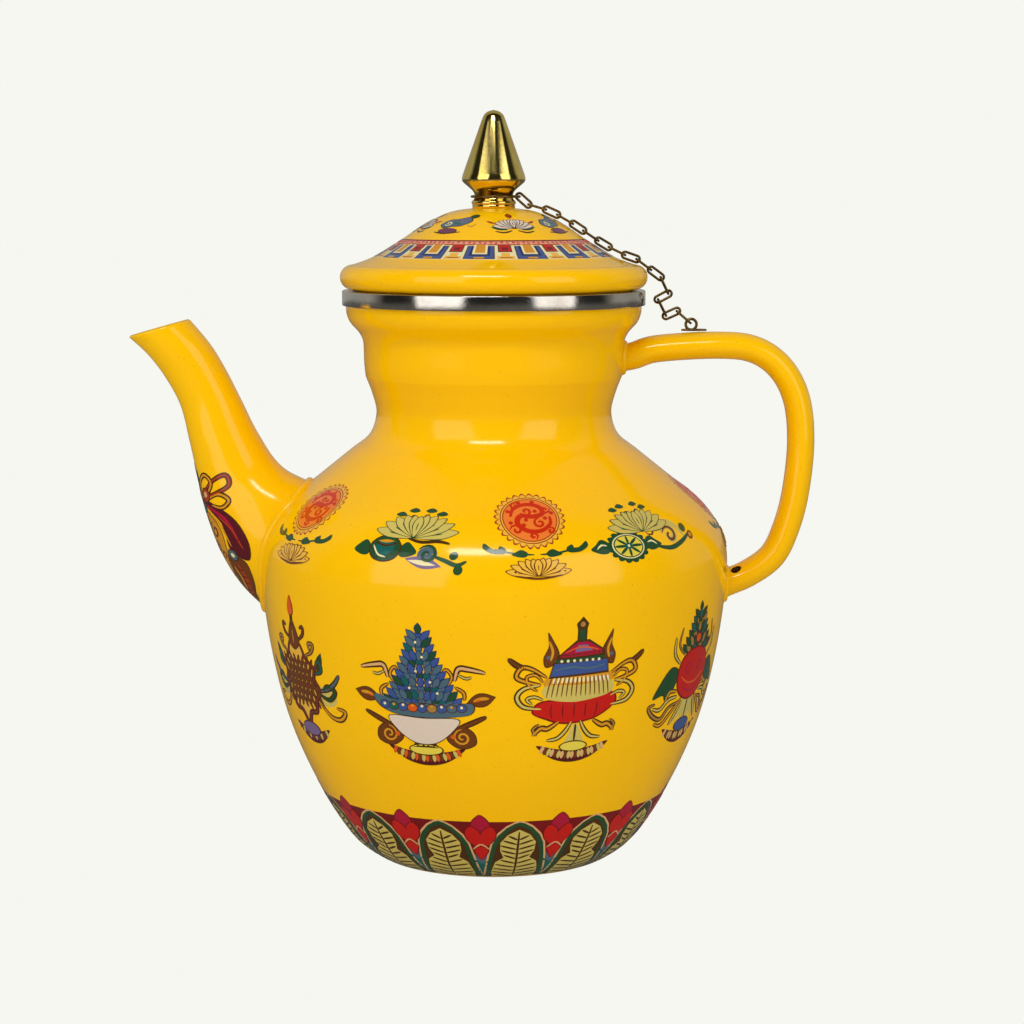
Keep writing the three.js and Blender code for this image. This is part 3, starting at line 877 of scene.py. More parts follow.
def footUnit():
    half = footBorder["half"]
    arch = [(-half, -13.4), (-11.4, -8), (-9.8, 2), (-8.6, 8), (-6.8, 12), (-4, 15.6), (-1.6, 17.4), (0, 18)]
    fern = [(-8.6, -13.4), (-8.8, -9), (-8, -5), (-7.2, -2), (-4.4, 0.4), (-5.6, 4), (-5.6, 8),
            (-3.4, 11.6), (0, 14)]

    def across(line):
        return line + [(-x, y) for x, y in line[-2::-1]]

    def cut(line, inset):
        return [(x * (1 - inset / half), y - (inset if y > -10 else 0)) for x, y in line]

    shapes = [fill("darkRed", 0, [(-half, 2), (half, 2), (half, 17.6), (-half, 17.6)]),
              fill("slate", 0, [(-half, -13.4), (half, -13.4), (half, 2), (-half, 2)]),
              fill("blush", 1, across(arch)),
              fill("darkGreen", 2, cut(across(arch), 0.7)),
              fill("umber", 3, cut(across(arch), 2.3)),
              fill("straw", 4, across(fern)),
              stroke("umber", 5, [(0, -12.8), (0, 0), (0, 13)], 0.8)]
    veins = []
    for y, x in [(-12, 8.4), (-9.4, 8.6), (-6.8, 8), (-4.2, 7.2), (-1.8, 5.4), (0.8, 4.4), (3.2, 5.4),
                 (5.6, 5.6), (8, 4.8), (10.2, 3.2)]:
        veins.append(stroke("umber", 5, [(0.3, y - 1), (x * 0.5, y - 0.1), (x, y + 1)], 0.85))
    shapes += mirrored(veins)
    bud = outlinedLoop("crimson", 2, [(0, 20.4), (-2.4, 17.2), (-2.6, 14.6), (0, 12.4), (2.6, 14.6),
                                      (2.4, 17.2)], edge="darkRed")
    bud += mirrored(outlinedLoop("red", 4, [(-0.2, 12.4), (-3, 15.4), (-4.6, 12.6), (-3.6, 8.6), (-0.4, 6)],
                                 edge="darkRed"))
    bud += outlinedLoop("red", 4, [(0, 6), (-2.2, 4.4), (-1.4, 2), (0, -0.4), (1.4, 2), (2.2, 4.4)],
                        edge="darkRed")
    bud += [stroke("blush", 6, [(-2.6, 4.8), (0, 7.2), (2.6, 4.8)], 0.6),
            fillLoop("teal", 1, [(-2.6, -1), (0, -3), (2.6, -1), (1.8, -8), (2.2, -13), (-2.2, -13),
                                 (-1.8, -8)])]
    return shapes + moved(bud, right=half)


# signs on the belly, each about 50 mm tall on a lotus seat

def lotusSeat(width, y, petals, seat="maroon", tip="orange"):
    crescent = [(-width / 2, y + 1.4), (-width * 0.27, y - 3.4), (0, y - 4.9), (width * 0.27, y - 3.4),
                (width / 2, y + 1.4), (width * 0.27, y + 0.2), (0, y - 0.8), (-width * 0.27, y + 0.2)]
    shapes = outlinedLoop(seat, 0, crescent, 0.45, 0.5)
    for i in range(2 * petals + 1):
        x = width * 0.43 * (i / petals - 1)
        drop = 3.3 * (1 - (2 * x / width) ** 2)
        shapes.append(stroke((tip, "brown", "straw")[i % 3], 2, [(x * 0.94, y - drop + 2.2),
                                                                 (x, y - drop + 0.9),
                                                                 (x * 1.04, y - drop - 0.6)], 1.25))
    return shapes


def canopy():
    side = outlinedLoop("brown", 1, [(11.6, 21.2), (9.4, 17.6), (7.8, 13.6), (9.6, 10.6), (12, 10),
                                     (12.6, 13), (11.2, 16)])
    side += [stroke("amber", 3, [(11.2, 18.6), (9.8, 15), (10.4, 11.8)], 0.9),
             fill("slate", 3, disc(11.2, 13, 0.7, count=10))]
    side += ribbons(1,
                    ("amber", [(11.2, 6), (16.5, 9.2), (20, 9.6), (21.4, 6.4), (17, 4.4), (13, 3.6)], 1.9),
                    ("straw", [(13, 3.6), (18.6, 2.4), (20.8, -0.6), (18.4, -4), (12.4, -5)], 2),
                    ("amber", [(12.4, 4.4), (15, 7), (18, 6.4), (17, 3.4), (14, 1.4)], 1.4),
                    ("straw", [(12, -1.8), (15, -0.6), (17.6, -1.4), (15.4, -3.4)], 1.4),
                    ("brown", [(18.6, 9.4), (21.6, 10.6), (24.6, 13)], 2.1),
                    ("amber", [(6, -9.8), (9.6, -12.2), (12, -12), (14.6, -14.6)], 2.1),
                    ("tan", [(12.6, -10.4), (14.6, -12.4), (13, -14.6)], 1.3),
                    ("straw", [(1.6, -10), (3.4, -13.4), (6, -16), (9.6, -16.6)], 1.7))
    shapes = mirrored(side)
    shapes += [fill("umber", 1, [(-1.6, 17), (1.8, 17), (1.9, 22.4), (2.4, 24), (0.3, 26.4), (-2, 24),
                                 (-1.5, 22)]),
               fill("darkGreen", 2, [(-0.9, 17.4), (1, 17.4), (1.1, 22), (-0.8, 22)]),
               fill("tan", 3, disc(0.2, 23.8, 0.9, count=12)),
               fill("umber", 2, [(-8, 13.2), (-1.8, 18.4), (2.8, 18.6), (8.6, 14.8), (8.4, 13.4)]),
               fill("crimson", 3, [(-7, 13.6), (-1.4, 17.7), (2.4, 17.9), (7.6, 14.8), (7.4, 13.9)]),
               fill("lilac", 4, [(-1, 16.8), (2, 16.9), (4.2, 14.8), (-2.2, 14.4)]),
               stroke("orange", 5, [(-5.4, 14.4), (-1, 16), (3, 15.8), (6.4, 14.8)], 0.5),
               fill("umber", 3, [(-8.2, 13.6), (8.4, 14.4), (8.8, 12.8), (-8.6, 12)]),
               stroke("crimson", 4, [(-7.4, 13), (0, 13.3), (7.8, 13.7)], 0.6),
               fill("darkGreen", 2, [(-8.6, 12.4), (8.8, 12.9), (9.4, 10.8), (-9.2, 10.2)]),
               fill("umber", 2.5, [(-9.4, 10.9), (10.1, 11.7), (10.6, 6.6), (-10.7, 5.6)]),
               fill("blue", 3, [(-9, 10.6), (9.8, 11.4), (10.1, 7.3), (-10.2, 6.3)]),
               stroke("slate", 4, [(-8.6, 8.4), (-3, 9.4), (3, 8.6), (9, 9.6)], 0.7),
               fillLoop("amber", 2, [(-10.4, 6.4), (0, 6.6), (10.6, 7.2), (11.6, 3.4), (0, 2),
                                     (-11.4, 2.6)]),
               fillLoop("straw", 3, [(-11.2, 3.2), (0, 3), (11.4, 4), (12, -0.4), (3, -2.6), (-4, -2.8),
                                     (-11.6, -1)]),
               fillLoop("darkRed", 1.5, [(-12.4, -2.2), (0, -2), (11.8, -0.2), (14.6, -3.8), (10, -7.9),
                                         (4, -10.2), (-4.6, -10.8), (-10.6, -9), (-15.6, -6.2)]),
               fillLoop("red", 2, [(-12, -2.6), (0, -2.4), (11.4, -0.6), (14, -3.8), (9.8, -7.4), (4, -9.6),
                                   (-4.6, -10.2), (-10.4, -8.4), (-15, -6.2)]),
               fill("straw", 1, [(-0.8, -11), (0.8, -11), (3.6, -17.6), (-3.6, -17.6)]),
               stroke("umber", 2, [(0, -11), (0, -14), (0, -17.4)], 0.8)]
    shapes += [fill("cream", 4, disc(x, 11.5, 0.5, count=10)) for x in (-6.6, -4.4, -2.2, 0, 2.2, 4.4, 6.6)]
    for i in range(14):
        x = -10.4 + 1.6 * i
        shapes.append(stroke("brown", 4, [(x * 0.92, 5.8), (x, 3), (x * 1.06, -1)], 0.45))
        shapes.append(stroke("cream", 4, [(x * 0.9 + 0.8, 5.8), (x * 0.95 + 0.8, 3.8)], 0.8))
    shapes += [stroke("darkRed", 3, [(x, -3.4), (x * 1.02, -6), (x * 0.94, -8.6)], 0.4)
               for x in (-9, -5, -1, 3, 7)]
    shapes += outlined("lemon", 2, disc(0, -19.2, 4.6, 0.36), 0.5)
    return shapes + lotusSeat(25, -20, 9, "maroon", "blush")


def jewelBowl():
    side = ribbons(0, ("blush", [(11.6, 5), (13, 9.2), (16.4, 9.2), (22, 8)], 2.2),
                   ("amber", [(9, 3), (10.8, 6.4), (9, 9), (7.4, 7)], 1.4),
                   ("amber", [(11.4, 3), (14.4, 1), (14.4, -1.8)], 1.5),
                   ("straw", [(12.6, 7.4), (15.4, 6), (17.4, 6.6)], 1.2))
    side += outlined("brown", 0, leaf(15.4, -2.6, 24.6, -0.4, 4.4), 0.35, 0.5)
    side += [stroke("amber", 1, [(17.4, -2), (20, -1), (22.6, -0.9)], 1.2),
             stroke("orange", 2, [(18, -2), (20, -1.4)], 0.6)]
    side += ribbons(0, ("brown", [(11.4, -12), (16, -10), (21.4, -7.4)], 2))
    side += outlinedLoop("brown", 0, [(9, -13.4), (13, -11.4), (16.6, -13.6), (16.8, -17.6), (12, -19.2),
                                      (8, -16.4)], 0.4, 0.5)
    side += [stroke("amber", 1, spiral(12.8, -15.2, 3.1, 1.6, 90), 0.75),
             fill("orange", 2, disc(9.6, -15, 0.8, count=10))]
    shapes = mirrored(side)
    shapes += foliage(-3.4, 25.4, 10.2, ("slate", "blue", "teal", "slate", "blue", "slate", "darkGreen"),
                      "navy")
    shapes += [fill("cream", 6, disc(x, y, 0.45, count=8))
               for x, y in [(-4, 2), (3.4, 4.4), (-1.4, 8), (1, 13), (-1, 18), (5.6, 0.6)]]
    shapes += outlinedLoop("slate", 4, [(-17, -1), (-10, -2.6), (0, -3.4), (10, -3), (17, -3), (16, -6.6),
                                        (8, -7.9), (0, -8.2), (-10, -7.4), (-15.6, -4.8)])
    for i, tone in enumerate(("blue", "teal", "blue", "orange", "blue", "tan", "blue", "slate", "blue")):
        x = -13.4 + 3.35 * i
        shapes += outlined(tone, 6, disc(x, -4.4 - 0.6 * (1 - (x / 14) ** 2), 1.6, 0.85, count=14), 0.3)
        shapes.append(fill("cream" if i % 2 == 0 else "amber", 8, disc(x, -4.2, 0.5, count=8)))
    shapes += outlinedLoop("porcelain", 5, [(-11.8, -8.4), (0, -8.7), (11.8, -8.6), (9.6, -13), (4.6, -17),
                                            (0, -18), (-4.6, -17), (-9.6, -13)], 0.35)
    shapes += [fill("umber", 4, [(-3.4, -17), (3.4, -17), (4.4, -19.4), (-4.4, -19.4)])]
    shapes += outlined("lemon", 3, disc(0, -20.2, 5.6, 0.33), 0.5)
    return shapes + lotusSeat(26, -21, 9, "maroon", "orange")


def endlessKnot():
    shapes = [fillLoop("wheat", 0, [(0, 14), (7, 6), (10.4, -3), (7, -11), (0, -16), (-7, -11), (-10.4, -3),
                                    (-7, 6)])]
    for k in range(-3, 4):
        reach = 9.6 - 0.5 * abs(k)
        for lean in (1, -1):
            x = 2.7 * k
            line = [(x - lean * reach * 0.52, -2 + reach + 0.6), (x, -1.6),
                    (x + lean * reach * 0.52, -2 - reach)]
            shapes += [stroke("umber", 1, line, 1.9), stroke("brown", 2, line, 1.2)]
    rim = smoothLoop([(0, 14.6), (4, 11), (6, 7), (10, 4), (9.4, 0), (11.4, -4), (8.4, -8), (7, -12),
                      (3, -13), (0, -17.6), (-3, -13), (-7, -12), (-8.4, -8), (-11.4, -4), (-9.4, 0),
                      (-10, 4), (-6, 7), (-4, 11)])
    shapes += [stroke("maroon", 3, rim + rim[:1], 2.1), stroke("brown", 4, rim + rim[:1], 1)]
    side = ribbons(1, ("brown", [(3, 13), (6.4, 15.4), (6.8, 18), (4.6, 17.4)], 1.7),
                   ("tan", [(6, 8), (10, 9.6), (11.6, 12.4), (9, 12.6), (9.4, 10)], 1.7),
                   ("teal", [(10, 2), (14, 3.6), (13.6, 7), (11.4, 5.4)], 2),
                   ("slate", [(11, -4), (16, -2.6), (20, 0), (23, 3.4)], 2))
    side += ribbons(2, ("darkGreen", [(11, -5), (16, -6.4), (19.6, -3), (16, -1.6), (13.6, -3.4)], 2))
    side += [fillLoop("straw", 0, [(11, -3), (16, -2), (20, -6), (16, -9), (11, -8)])]
    side += ribbons(1, ("amber", [(10, -8), (15, -12.6), (19.6, -13), (22.4, -10), (18.6, -9)], 2))
    side += outlined("darkGreen", 0, leaf(12, 3, 15.4, 10, 2.6), 0.3, 0.5)
    shapes += mirrored(side)
    shapes += outlinedLoop("brown", 4, [(0, 20), (2.4, 16), (3.4, 12), (0, 9.6), (-3.4, 12), (-2.4, 16)], 0.3)
    shapes += [fill("umber", 5, [(-0.9, 18), (0.9, 18), (0.8, 23), (-0.8, 23)]),
               stroke("tan", 6, [(0, 11.6), (0, 16.4)], 0.8)]
    shapes += outlinedLoop("orange", 5, [(0, 28), (1.5, 24.6), (1.2, 22), (-1.2, 22), (-1.5, 24.6)], 0.3,
                           edge="darkRed")
    shapes += outlined("lilac", 4, disc(0, -19.4, 5.4, 0.45), 0.5, edge="maroon")
    return shapes + lotusSeat(22, -19.8, 7, "maroon", "plum")


def treasureVase():
    side = outlinedLoop("darkGreen", 1, [(10, 2), (15, 4), (20, -2), (21.6, -6), (17, -5), (15.4, -7),
                                         (12, -4)], 0.35, 0.5)
    side += ribbons(1, ("straw", [(10, 5), (14, 9), (14.6, 15)], 1.6),
                    ("tan", [(8, 8), (12, 12), (11, 18)], 1.2))
    side += ribbons(1, ("tan", [(6, -9), (12, -10.4), (15.4, -14), (20, -12.4), (23, -9), (20, -8)], 1.8),
                    ("amber", [(5, -8), (10, -12.4), (14.4, -16.4), (18.4, -15.4)], 1.8),
                    ("straw", [(8, -7), (13, -7.4), (17, -10.4), (21, -9.6)], 1.8),
                    ("straw", [(4, -9), (7, -13.4), (9.6, -17.4)], 1.8),
                    ("amber", [(9, -5), (13.4, -4.6), (15, -8)], 1.8))
    side += [fill("straw", 0, leaf(2.4, -8, 7, -17, 3.4))]
    shapes = mirrored(side)
    shapes += outlinedLoop("red", 4, [(-3.6, 9), (3.6, 9), (8.6, 6), (10, 0), (7, -6), (0, -8.6), (-7, -6),
                                      (-10, 0), (-8.6, 6)], 0.6, edge="darkRed")
    shapes += [stroke("crimson", 6, spiral(x, 2.4, 2.6, 1.3, 0), 0.8) for x in (-4, 4)]
    shapes += [stroke("orange", 6, [(-8, 0), (-3, -2.6), (3, -2.6), (8, 0)], 0.7),
               stroke("crimson", 6, [(-6, -4), (0, -6), (6, -4)], 0.8)]
    shapes += foliage(9.4, 25.6, 6.6, ("darkGreen", "teal", "darkGreen", "tan"))
    shapes += outlined("orange", 6, disc(0, 13, 1.5, count=14), edge="darkRed")
    shapes += [fill("straw", 1, [(-4, -8), (4, -8), (3, -17), (-3, -17)]),
               stroke("umber", 2, [(0, -8), (0, -12), (0, -17)], 0.8)]
    shapes += outlined("blue", 3, disc(0, -18.4, 5, 0.45), 0.5)
    return shapes + lotusSeat(24, -20, 7, "maroon", "blush")


def dharmaWheel():
    shapes = outlined("amber", 1, disc(0, 3, 14.4), 0.6) + outlined("red", 3, disc(0, 3, 11))
    for k in range(8):
        turn = math.radians(45 * k + 22.5)
        c, s = math.cos(turn), math.sin(turn)
        shapes += [stroke("umber", 5, [(2 * c, 3 + 2 * s), (7 * c, 3 + 7 * s), (12.6 * c, 3 + 12.6 * s)],
                          2.3),
                   stroke("straw", 6, [(2 * c, 3 + 2 * s), (7 * c, 3 + 7 * s), (12.6 * c, 3 + 12.6 * s)],
                          1.5)]
        shapes += outlined("darkGreen", 0, leaf(13 * c, 3 + 13 * s, 19.4 * c, 3 + 19.4 * s, 4.4), 0.35, 0.5)
        turn += math.pi / 8
        shapes.append(fill("blue", 5, disc(12.6 * math.cos(turn), 3 + 12.6 * math.sin(turn), 1, count=12)))
    shapes += outlined("teal", 7, disc(0, 3, 3.4)) + [fill("cream", 9, disc(0, 3, 1.3, count=12))]
    side = ribbons(1, ("straw", [(6, -12), (13, -13), (17, -9), (21, -11)], 1.9),
                   ("amber", [(14, -4), (19, -5), (21.4, -1), (18.6, 1)], 1.8))
    return shapes + mirrored(side) + lotusSeat(24, -18, 9, "maroon", "orange")


def goldenFish():
    shapes = []
    for lean in (1, -1):
        level = 2 if lean > 0 else 5
        fish = outlinedLoop("amber" if lean > 0 else "orange", level,
                            [(-1, 19), (3.6, 14), (4.6, 6), (2, -3), (-0.6, -9), (-2.4, -3), (-4, 6),
                             (-3.6, 14)])
        fish += outlinedLoop("red", level, [(-0.8, -8), (4.4, -13), (0, -12), (-5, -13.4)], 0.3)
        fish += [stroke("umber", level + 2, [(-3, y), (0, y - 1.6), (3.4, y)], 0.6)
                 for y in (11, 8.8, 6.6, 4.4, 2.2, 0, -2.2)]
        fish += [fill("cream", level + 2, disc(1.2, 15, 1, count=12)),
                 fill("umber", level + 3, disc(1.2, 15, 0.45, count=8))]
        shapes += moved([(c, n, [(lean * x, y) for x, y in p], w) for c, n, p, w in fish], turn=-24 * lean,
                        right=5 * lean)
    side = ribbons(0, ("teal", [(9, -4), (16, -2), (19, 3), (15, 5), (14, 1)], 2),
                   ("straw", [(6, -13), (13, -12), (18, -15)], 1.9),
                   ("amber", [(8, 12), (14, 13), (18, 17), (20.6, 14)], 1.8))
    return shapes + mirrored(side) + lotusSeat(23, -19, 7, "maroon", "blush")


def lotusSign():
    shapes = []
    for number, tilt in enumerate((-66, 66, -44, 44, -22, 22, 0)):
        shapes += moved(outlinedLoop("plum" if abs(tilt) > 30 else "blush", 2 + number,
                                     [(0, 21), (4, 13), (3.4, 5), (0, 0), (-3.4, 5), (-4, 13)], 0.45, 0.4,
                                     edge="crimson"), turn=tilt, up=-6)
        shapes += moved([stroke("crimson", 2.7 + number, [(0, 3), (0, 9), (0, 15)], 0.6)], turn=tilt, up=-6)
    side = outlined("darkGreen", 0, leaf(3, -9, 18, -13, 5), 0.35, 0.5)
    side += ribbons(0, ("straw", [(2, -8), (10, -3), (19, -5), (22, -1)], 1.9))
    shapes += mirrored(side) + outlined("amber", 10, disc(0, -7, 3.6, 0.7))
    return shapes + lotusSeat(24, -19, 9, "maroon", "orange")


def conchSign():
    shapes = outlinedLoop("porcelain", 2, [(-2, 18), (4, 16), (8.6, 9), (9, 1), (4, -8), (-2, -14),
                                           (-3.6, -8), (-8, -2), (-9.4, 6), (-7, 13)], 0.5)
    shapes += [stroke("slate", 4, spiral(-1, 8, 6.6, 1.8, 200), 0.9),
               fill("blush", 4, leaf(0, -10, 5.4, 2, 4)),
               stroke("umber", 5, [(-3, -11), (1, -3), (5, 3)], 0.6)]
    side = ribbons(0, ("teal", [(8, 6), (14, 9), (18, 14), (21, 12)], 2),
                   ("red", [(7, -2), (14, -4), (17, -9), (21, -7)], 2.1),
                   ("straw", [(4, -12), (10, -13), (14, -10)], 1.8))
    return shapes + mirrored(side) + lotusSeat(24, -18.6, 9, "maroon", "plum")


belly = dict(arc=82.9,
             signs=[(-57, endlessKnot), (-17.3, jewelBowl), (21, canopy), (60, treasureVase),
                    (104, dharmaWheel), (143, goldenFish), (182, lotusSign), (221, conchSign)])

# frieze of the shoulder: a roundel over a lotus spray, then a cream lotus over a wheel or a jewel;
# each run has its first angle, how many, and the step between them, with none where the spout stands
shoulderFrieze = dict(arc=144.2, sprayArc=127.4, sprayAside=0.6, wheelArc=131.6,
                      roundels=[(10, 2, -67), (87, 3, 72)],
                      wheels=[(34.6, 2, 72)], jewels=[(-26.5, 2, -143.5)])


def lotusBloom(petal, edge, width, height):
    shapes = []
    for number, tilt in enumerate((-78, 78, -60, 60, -42, 42, -26, 26, -12, 12, 0)):
        size = height * (1 - 0.03 * number)
        outline = smoothLoop([(0, size), (size * 0.15, size * 0.62), (0, 0), (-size * 0.15, size * 0.62)])
        bloom = outlined(petal, 2 + 0.8 * number, outline, 0.34, 0.4, edge=edge)
        bloom.append(stroke(edge, 2.6 + 0.8 * number, [(0, size * 0.3), (0, size * 0.5), (0, size * 0.66)],
                            0.35))
        shapes += moved(bloom, turn=tilt)
    return [(c, n, [(x * width / height / 1.9, y) for x, y in p], w) for c, n, p, w in shapes]


def roundel():
    shapes = [fill("brick", 0, scallops(0, 0, 10.6, 1.4, 28)),
              fill("wheat", 0.6, scallops(0, 0, 10.2, 1.1, 28)),
              fill("brick", 1.2, disc(0, 0, 10)), fill("wheat", 2, disc(0, 0, 9.6)),
              fill("brick", 2.6, disc(0, 0, 9.2)),
              fill("tangerine", 3.2, disc(0, 0, 8.8))]
    coil = [(-6.4, 1), (-5, 4.6), (-1, 6.6), (3.4, 5.6), (4.4, 2.4), (1, 1), (-3, 1.4), (-4.4, -1.8),
            (-1.6, -4.8), (3, -5), (6.4, -2.4), (6.6, 1)]
    shapes += [stroke("vermilion", 4.4, coil, 1.9)]
    for x, y, size, start, handed in [(-1, 3.4, 2, 200, 1), (5.4, 4, 1.8, 20, -1), (3, -1.8, 2.2, 90, 1),
                                      (-5, -4.4, 2.2, 180, -1), (0.4, -7, 1.6, 300, 1),
                                      (-4.4, 6, 1.7, 60, 1), (6.4, -5, 1.5, 120, -1)]:
        shapes.append(stroke("vermilion", 5, spiral(x, y, size, 1.2, start, handed), 1))
    for x, y in [(-6.6, -1.6), (-3, 7.4), (1.6, 7.6), (7.4, 2.4), (-2.4, -2.6), (-1.4, -0.4), (5, 0.2),
                 (-7, 3.4), (2, 3.4)]:
        shapes.append(fill("vermilion", 5.6, disc(x, y, 0.75, count=10)))
    return shapes


def spray():
    leaves = [fillLoop("darkGreen", 2, [(3, 3.4), (5, 4.8), (7, 4), (8.4, 3), (6, 2.2), (4, 2.2)]),
              fillLoop("darkGreen", 2, [(10, 5), (12, 6.2), (13, 4.6), (15, 5.6), (17, 7.2), (17.6, 5.4),
                                        (15, 3.6), (11, 3.4)]),
              stroke("darkGreen", 1, [(1, 3), (7, 3.4), (14, 5)], 0.7)]
    return mirrored(leaves) + moved(lotusBloom("wheat", "brown", 21, 7.4), up=-4) + [
        stroke("brown", 5, [(-8, -4), (0, -5), (8, -4)], 0.7)]


def tippedLotus(width, height, right, up, tips, folds, tipReach):
    # a cream lotus with green tips over it and curled folds inside
    shapes = moved(lotusBloom("straw", "darkGreen", width, height), right, up)
    shapes += [fillLoop("darkGreen", 5, [(x - tipReach, y), (x, y + 1.3), (x + tipReach, y), (x, y - 0.8)])
               for x, y in tips]
    return shapes + [stroke("umber", 5, spiral(x, y, 1.7, 1.1, 40 * x), 0.45) for x, y in folds]


def wheelGroup():
    # x runs from the wheel's middle, y from its middle up the shoulder
    shapes = [fill("darkGreen", 0, [(x * 1.45, y) for x, y in scallops(0, 0, 5.2, 0.8, 16)]),
              fill("cream", 1, disc(0, 0, 6.5, 0.68)),
              fill("darkGreen", 2, disc(0, 0, 6, 0.68)),
              fill("lemon", 3, disc(0, 0, 5.5, 0.68))]
    for k in range(8):
        c, s = math.cos(math.pi * k / 4), math.sin(math.pi * k / 4) * 0.68
        shapes.append(stroke("darkGreen", 4, [(1 * c, 1 * s), (3 * c, 3 * s), (5.5 * c, 5.5 * s)], 1))
    shapes += [fill("teal", 5, disc(0, 0, 1.6, 0.7, count=14)), fill("cream", 6, disc(0, 0, 0.5, count=8))]
    wings = [fillLoop("darkGreen", 1, [(7.6, 1.6), (10, 3), (12.4, 1.2), (14.6, -0.6), (11, -2.2),
                                       (8, -1.6)]),
             stroke("cream", 2, [(8.4, 0.6), (10.4, 1), (12.4, -0.4)], 0.6)]
    shapes += mirrored(wings)
    shapes += [stroke("brown", 1, spiral(20.4, 2.2, 3.6, 1.2, 160, -1), 1.2),
               stroke("straw", 0, spiral(20.4, 2.2, 4, 1.1, 170, -1), 2.6),
               stroke("darkGreen", 1, [(13, -1.4), (19, -2.4), (25.4, -1), (31, 1.4)], 1.7),
               fill("darkGreen", 1, disc(29, 4, 1.8, count=12)),
               fill("brown", 1, disc(32, 0.8, 1.7, count=12)),
               fill("amber", 2, disc(32, 0.8, 0.9, count=8)),
               stroke("brown", 1, spiral(11.4, 5, 2.2, 1.1, 200, 1), 0.9),
               stroke("straw", 0, [(16, 4.6), (21, 7.4), (25.4, 5), (28, 1)], 2)]
    return shapes + tippedLotus(26, 11.4, 8, 5, [(0.4, 14.4), (4, 15.8), (10.4, 16.4), (13.6, 14.6)],
                                [(3.6, 9), (7.6, 11), (11.6, 9.4), (5, 12.6), (10.2, 12.6)], 1.8)


def jewelGroup():
    # x runs from the jewel's middle, y from its middle up the shoulder
    shapes = outlinedLoop("darkGreen", 1, [(-5.4, 0.6), (-3.4, 3.4), (0, 4.6), (3.6, 3.4), (5.6, 0.4),
                                           (4, -3), (0, -4.2), (-4, -3)], 0.5)
    shapes += [fillLoop("teal", 3, [(-3.6, 0.4), (0, 3.4), (3.6, 0.6), (0, -2.8)]),
               fill("amber", 4, leaf(-3, 2.6, 3, 2.8, 1.2)),
               stroke("cream", 4, [(-4.4, 1), (-2, -2.2), (1, -3)], 0.6),
               stroke("umber", 4, [(-4, 2.2), (0, 1), (4.2, 2.2)], 0.7)]
    shapes += mirrored([fillLoop("darkGreen", 0, [(5, 0), (7.4, 2.8), (9.8, 1.4), (11.6, -1), (8.6, -2.6),
                                                  (6, -2.4)])])
    shapes += [stroke("darkGreen", 1, spiral(15.4, -1.4, 3.6, 1.3, 150, -1), 1.2),
               fill("slate", 0, disc(15.4, -1.4, 3.4, 0.8)),
               fill("lilac", 0, leaf(8, -3, 21, -5.4, 4)),
               fill("cream", 1, leaf(9, -3.6, 19, -5, 1.6)),
               stroke("darkGreen", 2, [(18, -2), (22, -3.4), (26, -4.8), (29, -3.4)], 1.5),
               fill("darkGreen", 1, disc(26.6, -6.4, 1.6, count=12)),
               fill("darkGreen", 1, disc(24.4, -1.6, 1.5, count=12)),
               stroke("umber", 2, [(7, 4.4), (12, 3), (18, 3.4), (22, 2.6)], 1.2)]
    return shapes + tippedLotus(28, 12, 9, 4.6, [(1.6, 13.6), (5.6, 15.6), (11.4, 15.8), (15.6, 14.4)],
                                [(4.4, 9), (8.6, 11), (12.8, 9.4), (6, 12.6), (11.2, 12.8)], 1.9)


# lid: a key pattern round the edge and small emblems above it
lidOrnament = dict(keys=14, keyArc=12.8, keyAngle=-6.6, emblems=4, emblemArc=30, cloudAngle=-34,
                   lotusAngle=16)


def keyUnit():
    # a blue block with a notch, and half of a red block on either side
    half = 8.55

    def block(colour, layer, x0, x1, y0, y1):
        return fill(colour, layer, [(x0, y0), (x1, y0), (x1, y1), (x0, y1)])

    shapes = [block("cream", 0, -half, half, -4.8, 4.4), block("pink", 0, -half, half, 4.4, 7.2),
              block("darkRed", 1, -half, half, 6.5, 7.2), block("brick", 1, -half, half, 4.2, 4.8),
              block("umber", 1, -5, 5, -4.5, 3.8), block("blue", 2, -4.7, 4.7, -4.2, 3.5),
              block("navy", 2.6, -3.4, 3.4, -2.4, 3.5), block("cream", 3.2, -2.5, 2.5, -1.4, 4.4),
              block("amber", 4, -1.7, 1.7, -0.6, 4.4), block("amber", 3, -1.6, 1.6, -4.2, -3.2)]
    for side in (-1, 1):
        for colour, layer, inner, y0, y1 in [("umber", 1, 6.1, 0, 4.2), ("red", 2, 6.5, 0.5, 4.2),
                                             ("darkRed", 3, 7.4, 1.2, 2.8), ("wheat", 1, 5.8, -4.4, -2.6),
                                             ("wheat", 1, 7.2, -2.6, -0.6), ("brick", 1.6, 6.6, -3.8, -3.3)]:
            x0, x1 = sorted((side * inner, side * half))
            shapes.append(block(colour, layer, x0, x1, y0, y1))
    shapes += [stroke("red", 2, spiral(x, 5.7, 0.8, 1.1, 90 * x, 1), 0.5)
               for x in (-7, -4.9, -2.8, -0.7, 1.4, 3.5, 5.6, 7.7)]
    return shapes


